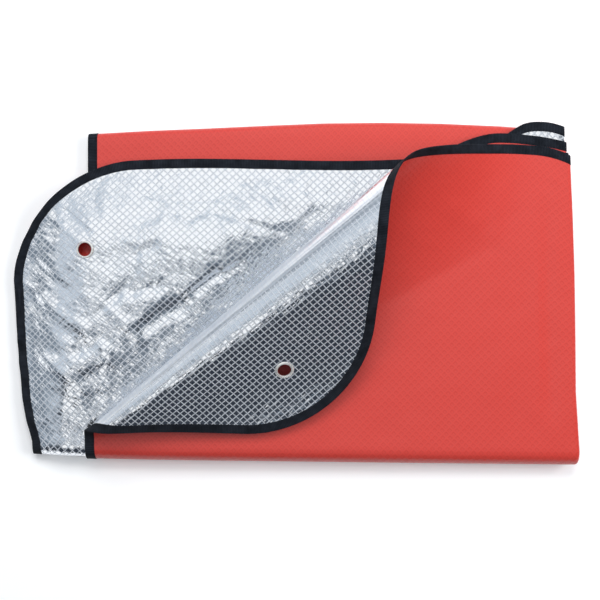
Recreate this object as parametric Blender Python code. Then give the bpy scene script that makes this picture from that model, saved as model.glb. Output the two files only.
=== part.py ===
"""Emergency foil blanket, folded for storage, with the corner of its top leaf peeled back.

One sheet of scrim laminate is folded in half twice along its length and then twice across its
width, so that it lies as sixteen leaves in four bundles.  A woven tape binds its whole edge, and
an eyelet is set in each rounded corner.  The sheet is described once, flat, by (u, v): u runs
along the length and v across the width.  surface() carries a flat point to its place in the
folded blanket, and each piece is cut out in (u, v) and carried over with it.

Bundles from the top are A, D, C, B.  Leaves from the top are 1, 4, 3, 2 in A and C, and
2, 3, 4, 1 in D and B.  Metres, +Z up, origin on the floor under the middle of the part.
"""

import math

import bmesh
import bpy
import numpy as np
from mathutils.geometry import delaunay_2d_cdt

MM = 0.001

# Thicknesses and widths; the binding is as thick as the sheet, so both lie flat on the floor.
SHEET_THICKNESS = 1.2 * MM
BINDING_WIDTH = 10.0 * MM
PIECE_GAP = 0.3 * MM
LEAF_PITCH = 2.0 * MM
CORNER_RADIUS = 128.0 * MM

# Places of the eyelets: distances from the near end and the far end, and from the sides
EYELETS_FROM_ENDS = (73.9 * MM, 81.0 * MM)
EYELETS_FROM_SIDES = (88.0 * MM, 95.4 * MM)
EYELET_OUTER_RADIUS = 9.75 * MM
EYELET_STEPS = 16
# Half of the eyelet's rolled section: radius, height (mm)
EYELET_SECTION = ((6.5, 0.55), (6.9, 0.95), (7.8, 1.0), (9.1, 0.75), (9.75, 0.3))

# Radii of the sheet's turns, measured to the middle of the sheet or of a bundle
LEAF_OUTER_TURN = 1.5 * LEAF_PITCH
LEAF_INNER_TURN = 0.5 * LEAF_PITCH
BUNDLE_OUTER_TURN = 6.0 * LEAF_PITCH
BUNDLE_INNER_TURN = 2.0 * LEAF_PITCH

# Flat lengths of the four leaves (along u) and of the four bundles (along v)
LEAF_LENGTHS = (508.0 * MM, 526.0 * MM, 526.0 * MM, 566.0 * MM)
BUNDLE_WIDTHS = (318.0 * MM, 336.0 * MM, 336.0 * MM, 300.0 * MM)

# Where the leaves end, in mm, down the bundles: 0 to 1 is A from its edge to the front fold,
# 1 to 2 is B, 2 to 3 is C and 3 to 4 is D, out to its edge.
#            place  edge of leaf 4  fold of 2 and 3  fold of 1 and 2
SIDE_ROWS = (
    (0.00, -300.0, -205.0, 284.0),
    (0.30, -303.0, -238.0, 288.0),
    (0.55, -300.0, -243.0, 289.5),
    (0.75, -296.0, -244.0, 290.0),
    (0.90, -290.5, -244.0, 291.0),
    (1.00, -282.0, -244.0, 294.0),
    (2.00, -212.0, -212.0, 280.0),
    (3.00, -206.0, -208.0, 288.0),
    (4.00, -200.0, -205.0, 282.0),
)
LEAF_1_EDGE = -223.0 * MM
# About how far leaf 4 of bundle A reaches past the others on the left
OVERHANG = 54.0 * MM

# Back edges of the four leaves of bundle A and of bundle D, in mm, from left to right
#             x      leaf 1  leaf 2  leaf 3  leaf 4
BACK_EDGES_A = (
    (-300.0, 155.8, 130.0, 130.0, 126.0),
    (-250.0, 155.8, 130.0, 130.0, 132.0),
    (-200.0, 155.8, 130.0, 130.0, 137.0),
    (-150.0, 155.8, 133.0, 134.0, 139.3),
    (100.0, 155.8, 133.0, 136.0, 139.3),
    (180.0, 155.2, 135.0, 141.0, 144.0),
    (235.0, 154.4, 138.0, 144.0, 147.0),
    (254.0, 152.9, 140.0, 145.0, 147.5),
    (274.0, 147.7, 142.5, 146.0, 147.0),
    (284.0, 143.5, 143.5, 146.5, 146.5),
)
BACK_EDGES_D = (
    (-300.0, 132.0, 132.0, 132.0, 132.0),
    (90.0, 127.0, 127.0, 126.0, 125.0),
    (130.0, 128.0, 131.0, 127.0, 124.0),
    (150.0, 134.0, 144.6, 132.0, 128.0),
    (166.0, 140.0, 155.6, 137.0, 132.0),
    (182.0, 146.0, 162.4, 143.0, 138.0),
    (202.0, 151.0, 167.3, 153.0, 146.0),
    (222.0, 155.0, 167.6, 169.5, 155.0),
    (238.0, 157.0, 166.2, 178.5, 163.0),
    (253.0, 158.0, 164.5, 180.4, 168.0),
    (266.0, 158.6, 162.3, 179.2, 172.0),
    (281.0, 158.8, 158.8, 174.8, 174.8),
)
# Outsides of the back fold of B and C, and of the front fold of A and B, in mm
#            x      back
BACK_FOLD = (
    (-223.0, 169.6), (-177.0, 172.3), (-100.0, 175.6), (65.0, 181.8), (205.0, 178.6),
    (281.0, 173.0),
)
#             x      front
FRONT_FOLD = ((-277.0, -172.9), (-214.0, -175.0), (1.0, -178.3), (281.0, -181.5))

# The peel: the corner of leaf 1 rolls over as a cone whose point lies outside the sheet.
CONE_POINT = (-317.6 * MM, -225.7 * MM)
RIDGE_DIRECTION = math.radians(40.16)
# The roll's section one unit along the ridge, as three Bezier curves: up to the ridge, round
# to the crown and down to the flap. Columns: distance across the ridge, height.
ROLL_RISE = ((-0.221, 0.0), (-0.209, 0.0), (0.0, 0.039), (0.0, 0.120))
ROLL_CROWN = ((0.0, 0.120), (0.0, 0.156), (-0.031, 0.185), (-0.07, 0.185))
ROLL_RETURN = ((-0.07, 0.185), (-0.175, 0.185), (-0.23, 0.016), (-0.66, 0.006))
ROLL_RUN_OUT = (-1.6, 0.006)
FLAP_CLEARANCE = 1.5 * MM
# The lift fades out towards the right-hand fold and towards the front fold.
LIFT_FULL_X = 130.0 * MM
LIFT_NONE_X = 245.0 * MM
LIFT_FULL_ABOVE_FRONT = 32.0 * MM

# The overhang of leaf 4 sinks towards the floor at the left.
SINK_START_X = -243.0 * MM
SINK_WIDTH = 60.0 * MM
#             y      share of the height lost
SINK_SHARES = ((-180.0, 0.74), (-60.0, 0.68), (60.0, 0.58), (140.0, 0.48))
# Leaf 4 is gently domed where the peeled corner leaves it open: from under the ridge to lines
# near its back and left edges and near the front fold.
DOME_HEIGHT = 12.0 * MM
DOME_EASE = 85.0 * MM
DOME_UNDER_RIDGE = 15.0 * MM
DOME_BACK = 139.0 * MM
DOME_LEFT = -300.0 * MM
DOME_FRONT = -160.0 * MM

# Steps in the turns, the corners and the roll, and samples along the roll's section
LEAF_TURN_STEPS = (6, 4, 4)
BUNDLE_TURN_STEPS = (8, 6, 6)
CORNER_STEPS = 12
ROLL_RISE_STEPS = 6
ROLL_CROWN_STEPS = 4
ROLL_RETURN_STEPS = 8
SECTION_SAMPLES = 120
RUN_OUT_SAMPLES = 19

# Lines of mesh points: distances from a leaf's left end, shares of each bundle's width, and
# distances from a fold and from an edge where the back edges curve
LINES_FROM_LEFT = (18.0, 45.0, 210.0, 330.0, 470.0)
OVERHANG_LINES = 4
SHARES_OF_BUNDLE = ((0.3, 0.55, 0.8, 0.93), (0.35, 0.7), (0.3, 0.65), (0.4, 0.8))
CURVED_FROM_FOLD = (12.0, 24.0, 38.0, 56.0, 76.0, 98.0, 118.0, 136.0, 154.0)
CURVED_FROM_EDGE = (30.0, 75.0)
# Grid of points on the open part of leaf 4: first share, last share and count
OPEN_LEAF_ALONG = (0.28, 0.97, 11)
OPEN_LEAF_ACROSS = (0.1, 0.96, 8)

# Stops along the edge of the peeled corner
PEEL_STOP = 13.0 * MM
PEEL_REACH = 365.0 * MM
ROLL_START_STOP = 3.0 * MM
ROLL_START_REACH = 130.0 * MM
LEAST_STOP = 1.0 * MM

# Points along the roll's straight lines, and how far each kind of point keeps away
ROLL_LINE_SPAN = (60.0 * MM, 720.0 * MM)
ROLL_LINE_SAMPLE = 4.0 * MM
ROLL_LINE_STOP = 60.0 * MM
CLEAR_OF_EDGE = 3.0 * MM
CLEAR_OF_FOLD = 4.0 * MM
CLEAR_OF_EYELET = 3.5 * MM
FADE_BEFORE_FOLD = 58.0 * MM

# Reach of a numerical slope, and the distance within which flat points become one
DIFFERENCE = 0.2 * MM
MERGE_REACH = 0.01 * MM

RED = (0.74, 0.075, 0.05)
BLACK = (0.012, 0.014, 0.02)
NICKEL = (0.75, 0.74, 0.72)


def ease(t):
    """Smooth step from 0 to 1."""
    t = np.clip(t, 0.0, 1.0)
    return t * t * (3.0 - 2.0 * t)


def through(rows, place, column=1, scale=MM):
    """Smooth curve through a table: its first column is the place, another is the value."""
    table = np.array(rows)
    places = table[:, 0]
    values = table[:, column] * scale
    slopes = np.gradient(values, places)
    index = np.clip(np.searchsorted(places, place) - 1, 0, len(places) - 2)
    width = places[index + 1] - places[index]
    t = np.clip((place - places[index]) / width, 0.0, 1.0)
    rise = values[index] * (2 * t**3 - 3 * t**2 + 1) + values[index + 1] * (3 * t**2 - 2 * t**3)
    bend = slopes[index] * (t**3 - 2 * t**2 + t) + slopes[index + 1] * (t**3 - t**2)
    return rise + bend * width


def marks(panels, turns):
    """Places along the flat sheet where its flat panels and its turns begin and end."""
    lengths = []
    for number, panel in enumerate(panels):
        lengths.append(panel)
        if number < len(turns):
            lengths.append(math.pi * turns[number])
    return np.concatenate([[0.0], np.cumsum(lengths)])


U_MARKS = marks(LEAF_LENGTHS, (LEAF_OUTER_TURN, LEAF_INNER_TURN, LEAF_INNER_TURN))
V_MARKS = marks(BUNDLE_WIDTHS, (BUNDLE_OUTER_TURN, BUNDLE_INNER_TURN, BUNDLE_INNER_TURN))
SHEET_LENGTH = U_MARKS[-1]
SHEET_WIDTH = V_MARKS[-1]


def zigzag(s, limits, ends, levels, turns):
    """Back-and-forth section of four flat panels and three turns.

    ends has the start and end of each panel, levels its height, and turns the radius, side and
    starting side (+1 top, -1 bottom) of each turn.  Returns place, height and unit tangent.
    """
    place = np.zeros_like(s)
    level = np.zeros_like(s)
    along = np.zeros_like(s)
    climb = np.zeros_like(s)
    run = np.clip(np.searchsorted(limits, s, side="right") - 1, 0, len(limits) - 2)
    for number, (start, end) in enumerate(ends):
        here = run == 2 * number
        length = limits[2 * number + 1] - limits[2 * number]
        way = np.sign(end - start)[here]
        done = s[here] - limits[2 * number]
        spare = np.abs(end - start)[here] - length
        place[here] = start[here] + way * (done + spare * ease(done / length))
        level[here] = levels[number]
        along[here] = way
    for number, (radius, side, from_top) in enumerate(turns):
        here = run == 2 * number + 1
        angle = (s[here] - limits[2 * number + 1]) / radius
        centre = ends[number][1][here]
        middle = 0.5 * (levels[number] + levels[number + 1])
        place[here] = centre + side * radius * np.sin(angle)
        level[here] = middle + from_top * radius * np.cos(angle)
        along[here] = side * np.cos(angle)
        climb[here] = -from_top * np.sin(angle)
    return place, level, along, climb


def by_leaf(u, rows, x):
    """Value of a table with one column for each leaf; across a turn it blends two leaves."""
    leaf = np.interp(u, U_MARKS, (0, 0, 1, 1, 2, 2, 3, 3))
    value = np.zeros_like(u)
    for number in range(4):
        share = np.clip(1.0 - np.abs(leaf - number), 0.0, 1.0)
        value += share * through(rows, x / MM, number + 1)
    return value


def bezier(points, t):
    """Cubic Bezier curve at the parameters t."""
    a, b, c, d = (np.array(point) for point in points)
    t = np.asarray(t)[:, None]
    return (1 - t)**3 * a + 3 * (1 - t)**2 * t * b + 3 * (1 - t) * t**2 * c + t**3 * d


def roll_directions():
    """Directions of the cone's straight lines, and the flat angle of each about its point."""
    fine = np.linspace(0.0, 1.0, SECTION_SAMPLES + 1)
    rise = bezier(ROLL_RISE, fine)
    crown = bezier(ROLL_CROWN, fine)[1:]
    back = bezier(ROLL_RETURN, fine)[1:]
    out = np.linspace(back[-1], ROLL_RUN_OUT, RUN_OUT_SAMPLES + 1)[1:]
    section = np.vstack([rise, crown, back, out])
    ridge = np.array([math.cos(RIDGE_DIRECTION), math.sin(RIDGE_DIRECTION)])
    across = np.array([-ridge[1], ridge[0]])
    lines = np.column_stack([ridge + section[:, :1] * across, section[:, 1]])
    lines /= np.linalg.norm(lines, axis=1)[:, None]
    steps = np.arccos(np.clip((lines[1:] * lines[:-1]).sum(axis=1), -1.0, 1.0))
    start = RIDGE_DIRECTION + math.atan(ROLL_RISE[0][0])
    angles = start + np.concatenate([[0.0], np.cumsum(steps)])
    return angles, lines


ROLL_ANGLES, ROLL_LINES = roll_directions()


def roll_stops():
    """Flat angles of the lines along which the roll is creased into facets."""
    rise = np.linspace(0.0, 1.0, ROLL_RISE_STEPS + 1)
    crown = 1.0 + np.linspace(0.0, 1.0, ROLL_CROWN_STEPS + 1)[1:]
    back = 2.0 + np.linspace(0.0, 1.0, ROLL_RETURN_STEPS + 1)[1:]
    stops = np.concatenate([rise, crown, back])
    return ROLL_ANGLES[np.rint(SECTION_SAMPLES * stops).astype(int)]


def peel(x, y, front):
    """Carries points of leaf 1's flat corner over the roll; returns their shift."""
    east = x - CONE_POINT[0]
    north = y - CONE_POINT[1]
    reach = np.hypot(east, north)
    angle = np.arctan2(north, east)
    line = np.stack([np.interp(angle, ROLL_ANGLES, ROLL_LINES[:, i]) for i in range(3)], axis=1)
    line /= np.linalg.norm(line, axis=1)[:, None]
    rolled = reach[:, None] * line - np.stack([east, north, np.zeros_like(east)], axis=1)
    turned = (angle - ROLL_ANGLES[0]) / (ROLL_ANGLES[SECTION_SAMPLES] - ROLL_ANGLES[0])
    rolled[:, 2] += FLAP_CLEARANCE * ease(turned)
    fade = ease((LIFT_NONE_X - x) / (LIFT_NONE_X - LIFT_FULL_X))
    fade = fade * ease((y - front) / LIFT_FULL_ABOVE_FRONT)
    fade = np.where(angle > ROLL_ANGLES[0], fade, 0.0)
    return rolled * fade[:, None]


def surface(u, v):
    """Place in the folded blanket of the flat point (u, v), at the middle of the sheet."""
    half = 0.5 * SHEET_THICKNESS
    pitch = LEAF_PITCH
    down = np.interp(v, V_MARKS, (0, 1, 1, 2, 2, 3, 3, 4))
    edge_4 = through(SIDE_ROWS, down, 1)
    left = through(SIDE_ROWS, down, 2) + LEAF_INNER_TURN + half
    right = through(SIDE_ROWS, down, 3) - LEAF_OUTER_TURN - half
    edge_1 = np.full_like(u, LEAF_1_EDGE)
    x, lift, _, _ = zigzag(
        u, U_MARKS,
        ends=((edge_1, right), (right, left), (left, right), (right, edge_4)),
        levels=(1.5 * pitch, -1.5 * pitch, -0.5 * pitch, 0.5 * pitch),
        turns=((LEAF_OUTER_TURN, 1, 1), (LEAF_INNER_TURN, -1, -1), (LEAF_INNER_TURN, 1, -1)),
    )
    thickest = BUNDLE_OUTER_TURN + LEAF_OUTER_TURN + half
    front = through(FRONT_FOLD, x / MM) + thickest
    back = through(BACK_FOLD, x / MM) - BUNDLE_INNER_TURN - LEAF_OUTER_TURN - half
    edge_a = by_leaf(u, BACK_EDGES_A, x)
    edge_d = by_leaf(u, BACK_EDGES_D, x)
    y, z, along, climb = zigzag(
        v, V_MARKS,
        ends=((edge_a, front), (front, back), (back, front), (front, edge_d)),
        levels=(13.5 * pitch, 1.5 * pitch, 5.5 * pitch, 9.5 * pitch),
        turns=((BUNDLE_OUTER_TURN, -1, 1), (BUNDLE_INNER_TURN, 1, -1),
               (BUNDLE_INNER_TURN, -1, -1)),
    )
    y = y + lift * climb
    z = z - lift * along + half
    sink = ease((SINK_START_X - x) / SINK_WIDTH) * through(SINK_SHARES, y / MM, 1, 1.0)
    z = half + (z - half) * (1.0 - sink)
    in_bundle_a = v < V_MARKS[1]
    open_leaf = in_bundle_a & (u > U_MARKS[-2])
    z = z + np.where(open_leaf, dome(x, y), 0.0)
    places = np.stack([x, y, z], axis=1)
    top_leaf = in_bundle_a & (u < U_MARKS[1])
    places[top_leaf] += peel(x[top_leaf], y[top_leaf], front[top_leaf])
    return places


def dome(x, y):
    """Height of the soft dome of leaf 4 beside the peeled corner."""
    across = (y - CONE_POINT[1]) * math.cos(RIDGE_DIRECTION)
    across = across - (x - CONE_POINT[0]) * math.sin(RIDGE_DIRECTION)
    past_ridge = ease((across + DOME_UNDER_RIDGE) / DOME_EASE)
    from_back = ease((DOME_BACK - y) / DOME_EASE)
    from_left = ease((x - DOME_LEFT) / DOME_EASE)
    from_front = ease((y - DOME_FRONT) / DOME_EASE)
    return DOME_HEIGHT * past_ridge * from_back * from_left * from_front


def directions(u, v):
    """Unit tangents along u and v, and the unit normal on the sheet's coloured side."""
    step = DIFFERENCE
    along_u = surface(u + step, v) - surface(u - step, v)
    along_v = surface(u, v + step) - surface(u, v - step)
    normal = np.cross(along_v, along_u)
    for vectors in (along_u, along_v, normal):
        vectors /= np.linalg.norm(vectors, axis=1)[:, None]
    return along_u, along_v, normal


def turn_lines(limits, steps):
    """Lines across the flat sheet at the ends of each turn and inside it."""
    lines = []
    for number, count in enumerate(steps):
        lines.extend(np.linspace(limits[2 * number + 1], limits[2 * number + 2], count + 1))
    return lines


def u_lines():
    """Lines of constant u: the turns, and a few in each leaf at like distances from its left."""
    lines = turn_lines(U_MARKS, LEAF_TURN_STEPS)
    from_left = np.array(LINES_FROM_LEFT) * MM
    lines.extend(U_MARKS[0] + from_left)
    lines.extend(U_MARKS[3] - from_left[:4])
    lines.extend(U_MARKS[4] + from_left[:4])
    lines.extend(U_MARKS[7] - from_left - OVERHANG)
    lines.extend(U_MARKS[7] - np.linspace(0.0, OVERHANG, OVERHANG_LINES + 1)[1:])
    return np.array(sorted(lines))


def v_lines():
    """Lines of constant v: the turns, and a few in each bundle."""
    lines = turn_lines(V_MARKS, BUNDLE_TURN_STEPS)
    for start, end, shares in zip(V_MARKS[0::2], V_MARKS[1::2], SHARES_OF_BUNDLE):
        lines.extend(start + (end - start) * np.array(shares))
    return np.array(sorted(lines))


def back_edge_stops():
    """Extra stops along the side edges, where the back edges of bundles A and D curve."""
    near_fold = np.array(CURVED_FROM_FOLD) * MM
    stops_d = np.concatenate([U_MARKS[2] + near_fold, U_MARKS[5] - near_fold])
    stops_a = np.concatenate([U_MARKS[1] - near_fold[:4], U_MARKS[6] + near_fold[:3]])
    return stops_a, stops_d


def rounded_edge(inset, spots):
    """Points on the sheet's edge, moved in by inset, for a list of (side, amount) spots."""
    width = SHEET_WIDTH
    length = SHEET_LENGTH
    radius = CORNER_RADIUS
    corners = ((radius, radius), (length - radius, radius),
               (length - radius, width - radius), (radius, width - radius))
    points = []
    for side, amount in spots:
        if side == "v0":
            points.append((amount, inset))
        elif side == "u1":
            points.append((length - inset, amount))
        elif side == "v1":
            points.append((amount, width - inset))
        elif side == "u0":
            points.append((inset, amount))
        else:
            centre = corners[side]
            reach = radius - inset
            points.append((centre[0] + reach * math.cos(amount),
                           centre[1] + reach * math.sin(amount)))
    return np.array(points)


def between(values, limits):
    """Sorted values inside the limits, with the limits themselves at both ends."""
    low, high = limits
    kept = [value for value in sorted(values) if low + LEAST_STOP < value < high - LEAST_STOP]
    return [low] + kept + [high]


def edge_spots():
    """Stops round the sheet's edge, anticlockwise in (u, v) from the corner of leaf 1."""
    start = CORNER_RADIUS
    stops_a, stops_d = back_edge_stops()
    peel_stops = np.arange(start, start + PEEL_REACH, PEEL_STOP)
    lines_u = u_lines()
    lines_v = v_lines()
    side_a = np.concatenate([peel_stops, lines_u[lines_u > peel_stops[-1]], stops_a])
    side_d = np.concatenate([lines_u, stops_d])
    inside_u = (start, SHEET_LENGTH - start)
    inside_v = (start, SHEET_WIDTH - start)
    roll_start = start + ROLL_START_REACH
    roll_end = V_MARKS[1] - CLEAR_OF_FOLD * 3.0
    peel_side = np.concatenate([np.arange(start, roll_start, PEEL_STOP),
                                np.arange(roll_start, roll_end, ROLL_START_STOP)])
    end_1 = np.concatenate([peel_side, lines_v[lines_v > peel_side[-1] + LEAST_STOP]])
    corner_steps = np.linspace(0.0, 0.5 * math.pi, CORNER_STEPS + 1)[1:-1]
    spots = [("v0", value) for value in between(side_a, inside_u)]
    spots += [(1, -0.5 * math.pi + angle) for angle in corner_steps]
    spots += [("u1", value) for value in between(lines_v, inside_v)]
    spots += [(2, angle) for angle in corner_steps]
    spots += [("v1", value) for value in reversed(between(side_d, inside_u))]
    spots += [(3, 0.5 * math.pi + angle) for angle in corner_steps]
    spots += [("u0", value) for value in reversed(between(end_1, inside_v))]
    spots += [(0, math.pi + angle) for angle in corner_steps]
    return spots


def eyelet_centres():
    """Flat places of the four eyelets, by the node that fills them."""
    near_u = EYELETS_FROM_ENDS[0]
    far_u = SHEET_LENGTH - EYELETS_FROM_ENDS[1]
    near_v, far_v = EYELETS_FROM_SIDES
    return {
        "eyelet_peeled_corner": (near_u, near_v),
        "eyelet_open_leaf": (far_u, far_v),
        "eyelet_inner_left": (near_u, SHEET_WIDTH - near_v),
        "eyelet_inner_right": (far_u, SHEET_WIDTH - far_v),
    }


def eyelet_frame(centre):
    """Middle of an eyelet, two axes across it and its axis, in the folded blanket."""
    spot = (np.array([centre[0]]), np.array([centre[1]]))
    along_u, _, normal = (vectors[0] for vectors in directions(*spot))
    return surface(*spot)[0], along_u, np.cross(along_u, normal), normal


def flat_to_plane(centre):
    """Matrix from flat shifts about an eyelet's place to shifts across the folded eyelet."""
    _, across_1, across_2, _ = eyelet_frame(centre)
    moved = centre + DIFFERENCE * np.array([(-1, 0), (1, 0), (0, -1), (0, 1)])
    places = surface(moved[:, 0], moved[:, 1])
    stretch = np.stack([places[1] - places[0], places[3] - places[2]]) / (2.0 * DIFFERENCE)
    return stretch @ np.stack([across_1, across_2]).T


def ring_points(centre, radius):
    """Flat points that become a true circle round an eyelet's place once folded."""
    angles = np.arange(EYELET_STEPS) * 2.0 * math.pi / EYELET_STEPS
    circle = radius * np.column_stack([np.cos(angles), np.sin(angles)])
    return centre + circle @ np.linalg.inv(flat_to_plane(centre))


def inside_edge(points, inset):
    """Which flat points lie at least inset inside the sheet's rounded edge."""
    half = np.array([SHEET_LENGTH, SHEET_WIDTH]) / 2.0
    offset = np.abs(points - half) - (half - CORNER_RADIUS)
    outside = np.hypot(np.maximum(offset[:, 0], 0.0), np.maximum(offset[:, 1], 0.0))
    depth = CORNER_RADIUS - outside
    straight = np.minimum(half[0] - np.abs(points[:, 0] - half[0]),
                          half[1] - np.abs(points[:, 1] - half[1]))
    return np.minimum(depth, straight) >= inset


def clear_of_eyelets(points, reach):
    """Which flat points lie farther than reach from each eyelet's centre, once folded."""
    clear = np.ones(len(points), dtype=bool)
    for centre in eyelet_centres().values():
        shift = (points - centre) @ flat_to_plane(centre)
        clear &= np.hypot(shift[:, 0], shift[:, 1]) > reach
    return clear


def flat_corner_angle(points):
    """Angle about the cone's point of flat points on leaf 1, in its unpeeled place."""
    east = points[:, 0] + LEAF_1_EDGE - CONE_POINT[0]
    north = BACK_EDGES_A[0][1] * MM - points[:, 1] - CONE_POINT[1]
    return np.arctan2(north, east)


def roll_line_points(inset):
    """Short rows of flat points along the roll's straight lines."""
    rows = []
    for angle in roll_stops():
        reach = np.arange(*ROLL_LINE_SPAN, ROLL_LINE_SAMPLE)
        u = CONE_POINT[0] + reach * math.cos(angle) - LEAF_1_EDGE
        v = BACK_EDGES_A[0][1] * MM - (CONE_POINT[1] + reach * math.sin(angle))
        points = np.column_stack([u, v])
        kept = inside_edge(points, inset + CLEAR_OF_EDGE)
        kept &= clear_of_eyelets(points, EYELET_OUTER_RADIUS + CLEAR_OF_EYELET)
        kept &= (v < V_MARKS[1] - CLEAR_OF_FOLD) & (u < U_MARKS[1] - FADE_BEFORE_FOLD)
        pieces = np.split(points, np.flatnonzero(np.diff(kept.astype(int))) + 1)
        flags = np.split(kept, np.flatnonzero(np.diff(kept.astype(int))) + 1)
        for piece, flag in zip(pieces, flags):
            if flag[0] and len(piece) > 2:
                spans = max(1, round(len(piece) * ROLL_LINE_SAMPLE / ROLL_LINE_STOP))
                chosen = np.linspace(0, len(piece) - 1, spans + 1).astype(int)
                rows.append(piece[chosen])
    return rows


def grid_points(across, down):
    """All crossings of lines of constant u with lines of constant v."""
    grid_u, grid_v = np.meshgrid(across, down)
    return np.column_stack([grid_u.ravel(), grid_v.ravel()])


def filling_points(inset):
    """Flat points inside the sheet: the crossings of the lines, and more where it curves."""
    grid = grid_points(u_lines(), v_lines())
    in_roll = (grid[:, 0] < U_MARKS[1] - FADE_BEFORE_FOLD) & (grid[:, 1] < V_MARKS[1])
    in_roll &= flat_corner_angle(grid) > ROLL_ANGLES[0]
    curved_v = SHEET_WIDTH - np.array(CURVED_FROM_EDGE) * MM
    open_u = U_MARKS[-2] + np.linspace(*OPEN_LEAF_ALONG) * LEAF_LENGTHS[3]
    open_v = np.linspace(*OPEN_LEAF_ACROSS) * BUNDLE_WIDTHS[0]
    curved = grid_points(back_edge_stops()[1], curved_v)
    points = np.vstack([grid[~in_roll], curved, grid_points(open_u, open_v)])
    kept = inside_edge(points, inset + CLEAR_OF_EDGE)
    kept &= clear_of_eyelets(points, EYELET_OUTER_RADIUS + CLEAR_OF_EYELET)
    return points[kept]


def crease_lines(inset):
    """Ends of the lines that run right across the flat sheet in each of its turns."""
    rows = []
    for u in turn_lines(U_MARKS, LEAF_TURN_STEPS):
        rows.append([(u, inset), (u, SHEET_WIDTH - inset)])
    for v in turn_lines(V_MARKS, BUNDLE_TURN_STEPS):
        rows.append([(inset, v), (SHEET_LENGTH - inset, v)])
    return rows


def loop_edges(start, count):
    """Edges that close a run of points into a loop."""
    return [(start + i, start + (i + 1) % count) for i in range(count)]


def flat_mesh():
    """Triangles of the flat laminate, with the eyelets' holes left out."""
    inset = BINDING_WIDTH + PIECE_GAP
    edge = rounded_edge(inset, edge_spots())
    points = list(edge)
    edges = loop_edges(0, len(edge))
    for centre in eyelet_centres().values():
        ring = ring_points(centre, EYELET_OUTER_RADIUS + PIECE_GAP)
        edges += loop_edges(len(points), len(ring))
        points.extend(ring)
    for row in roll_line_points(inset) + crease_lines(inset):
        edges += [(len(points) + i, len(points) + i + 1) for i in range(len(row) - 1)]
        points.extend(row)
    points.extend(filling_points(inset))
    found = delaunay_2d_cdt([tuple(point) for point in points], edges, [], 0, MERGE_REACH)
    places = np.array([tuple(point) for point in found[0]])
    faces = np.array(found[2])
    middles = places[faces].mean(axis=1)
    hole = (EYELET_OUTER_RADIUS + PIECE_GAP) * math.cos(math.pi / EYELET_STEPS)
    kept = inside_edge(middles, inset) & clear_of_eyelets(middles, hole)
    return places, faces[kept].tolist()


def thicken(places, faces):
    """Closed solid about a triangulated part of the sheet, at the sheet's thickness."""
    used = sorted({index for face in faces for index in face})
    place_of = {index: number for number, index in enumerate(used)}
    flat = places[used]
    middle = surface(flat[:, 0], flat[:, 1])
    normal = directions(flat[:, 0], flat[:, 1])[2]
    upper = middle + 0.5 * SHEET_THICKNESS * normal
    lower = middle - 0.5 * SHEET_THICKNESS * normal
    count = len(used)
    solid = []
    sides = {}
    for face in faces:
        a, b, c = (place_of[index] for index in face)
        solid.append((a, b, c))
        solid.append((count + c, count + b, count + a))
        for start, end in ((a, b), (b, c), (c, a)):
            if (end, start) in sides:
                del sides[(end, start)]
            else:
                sides[(start, end)] = True
    for start, end in sides:
        solid.append((end, start, count + start))
        solid.append((end, count + start, count + end))
    return np.vstack([upper, lower]), solid


def binding_mesh():
    """Closed ring of tape round the sheet's edge, flush with the sheet."""
    spots = edge_spots()
    rails = []
    for inset, side in ((0.0, 1), (BINDING_WIDTH, 1), (BINDING_WIDTH, -1), (0.0, -1)):
        flat = rounded_edge(inset, spots)
        middle = surface(flat[:, 0], flat[:, 1])
        normal = directions(flat[:, 0], flat[:, 1])[2]
        rails.append(middle + side * 0.5 * SHEET_THICKNESS * normal)
    count = len(spots)
    faces = []
    for rail in range(4):
        near = rail * count
        far = (rail + 1) % 4 * count
        for i in range(count):
            j = (i + 1) % count
            # The under face is split along the same diagonal as the upper one.
            if rail == 2:
                faces.append((near + i, near + j, far + i))
                faces.append((near + j, far + j, far + i))
            else:
                faces.append((near + i, near + j, far + j))
                faces.append((near + i, far + j, far + i))
    return np.vstack(rails), faces


def eyelet_mesh(centre):
    """Rolled metal ring, turned about the sheet's normal at its place."""
    middle, across_1, across_2, normal = eyelet_frame(centre)
    half = [(radius * MM, height * MM) for radius, height in EYELET_SECTION]
    section = half + [(radius, -height) for radius, height in reversed(half)]
    places = []
    for step in range(EYELET_STEPS):
        angle = step * 2.0 * math.pi / EYELET_STEPS
        outward = math.cos(angle) * across_1 + math.sin(angle) * across_2
        places.extend(middle + radius * outward + height * normal for radius, height in section)
    size = len(section)
    faces = []
    for step in range(EYELET_STEPS):
        ahead = (step + 1) % EYELET_STEPS
        for i in range(size):
            j = (i + 1) % size
            faces.append((step * size + i, step * size + j, ahead * size + j))
            faces.append((step * size + i, ahead * size + j, ahead * size + i))
    return np.array(places), faces


def material(name, color, roughness, metallic):
    """Principled material of one piece."""
    made = bpy.data.materials.new(name)
    made.use_nodes = True
    shader = made.node_tree.nodes["Principled BSDF"]
    shader.inputs["Base Color"].default_value = (*color, 1.0)
    shader.inputs["Roughness"].default_value = roughness
    shader.inputs["Metallic"].default_value = metallic
    made.diffuse_color = (*color, 1.0)
    return made


def add_piece(name, places, faces, finish):
    """Object of one piece, its faces turned outwards and shaded smooth."""
    mesh = bpy.data.meshes.new(name)
    mesh.from_pydata([tuple(place) for place in places], [], faces)
    work = bmesh.new()
    work.from_mesh(mesh)
    bmesh.ops.recalc_face_normals(work, faces=work.faces)
    if work.calc_volume(signed=True) < 0.0:
        bmesh.ops.reverse_faces(work, faces=work.faces)
    work.to_mesh(mesh)
    work.free()
    mesh.shade_smooth()
    mesh.set_sharp_from_angle(angle=math.radians(40.0))
    mesh.materials.append(finish)
    made = bpy.data.objects.new(name, mesh)
    bpy.context.scene.collection.objects.link(made)
    return made


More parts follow.
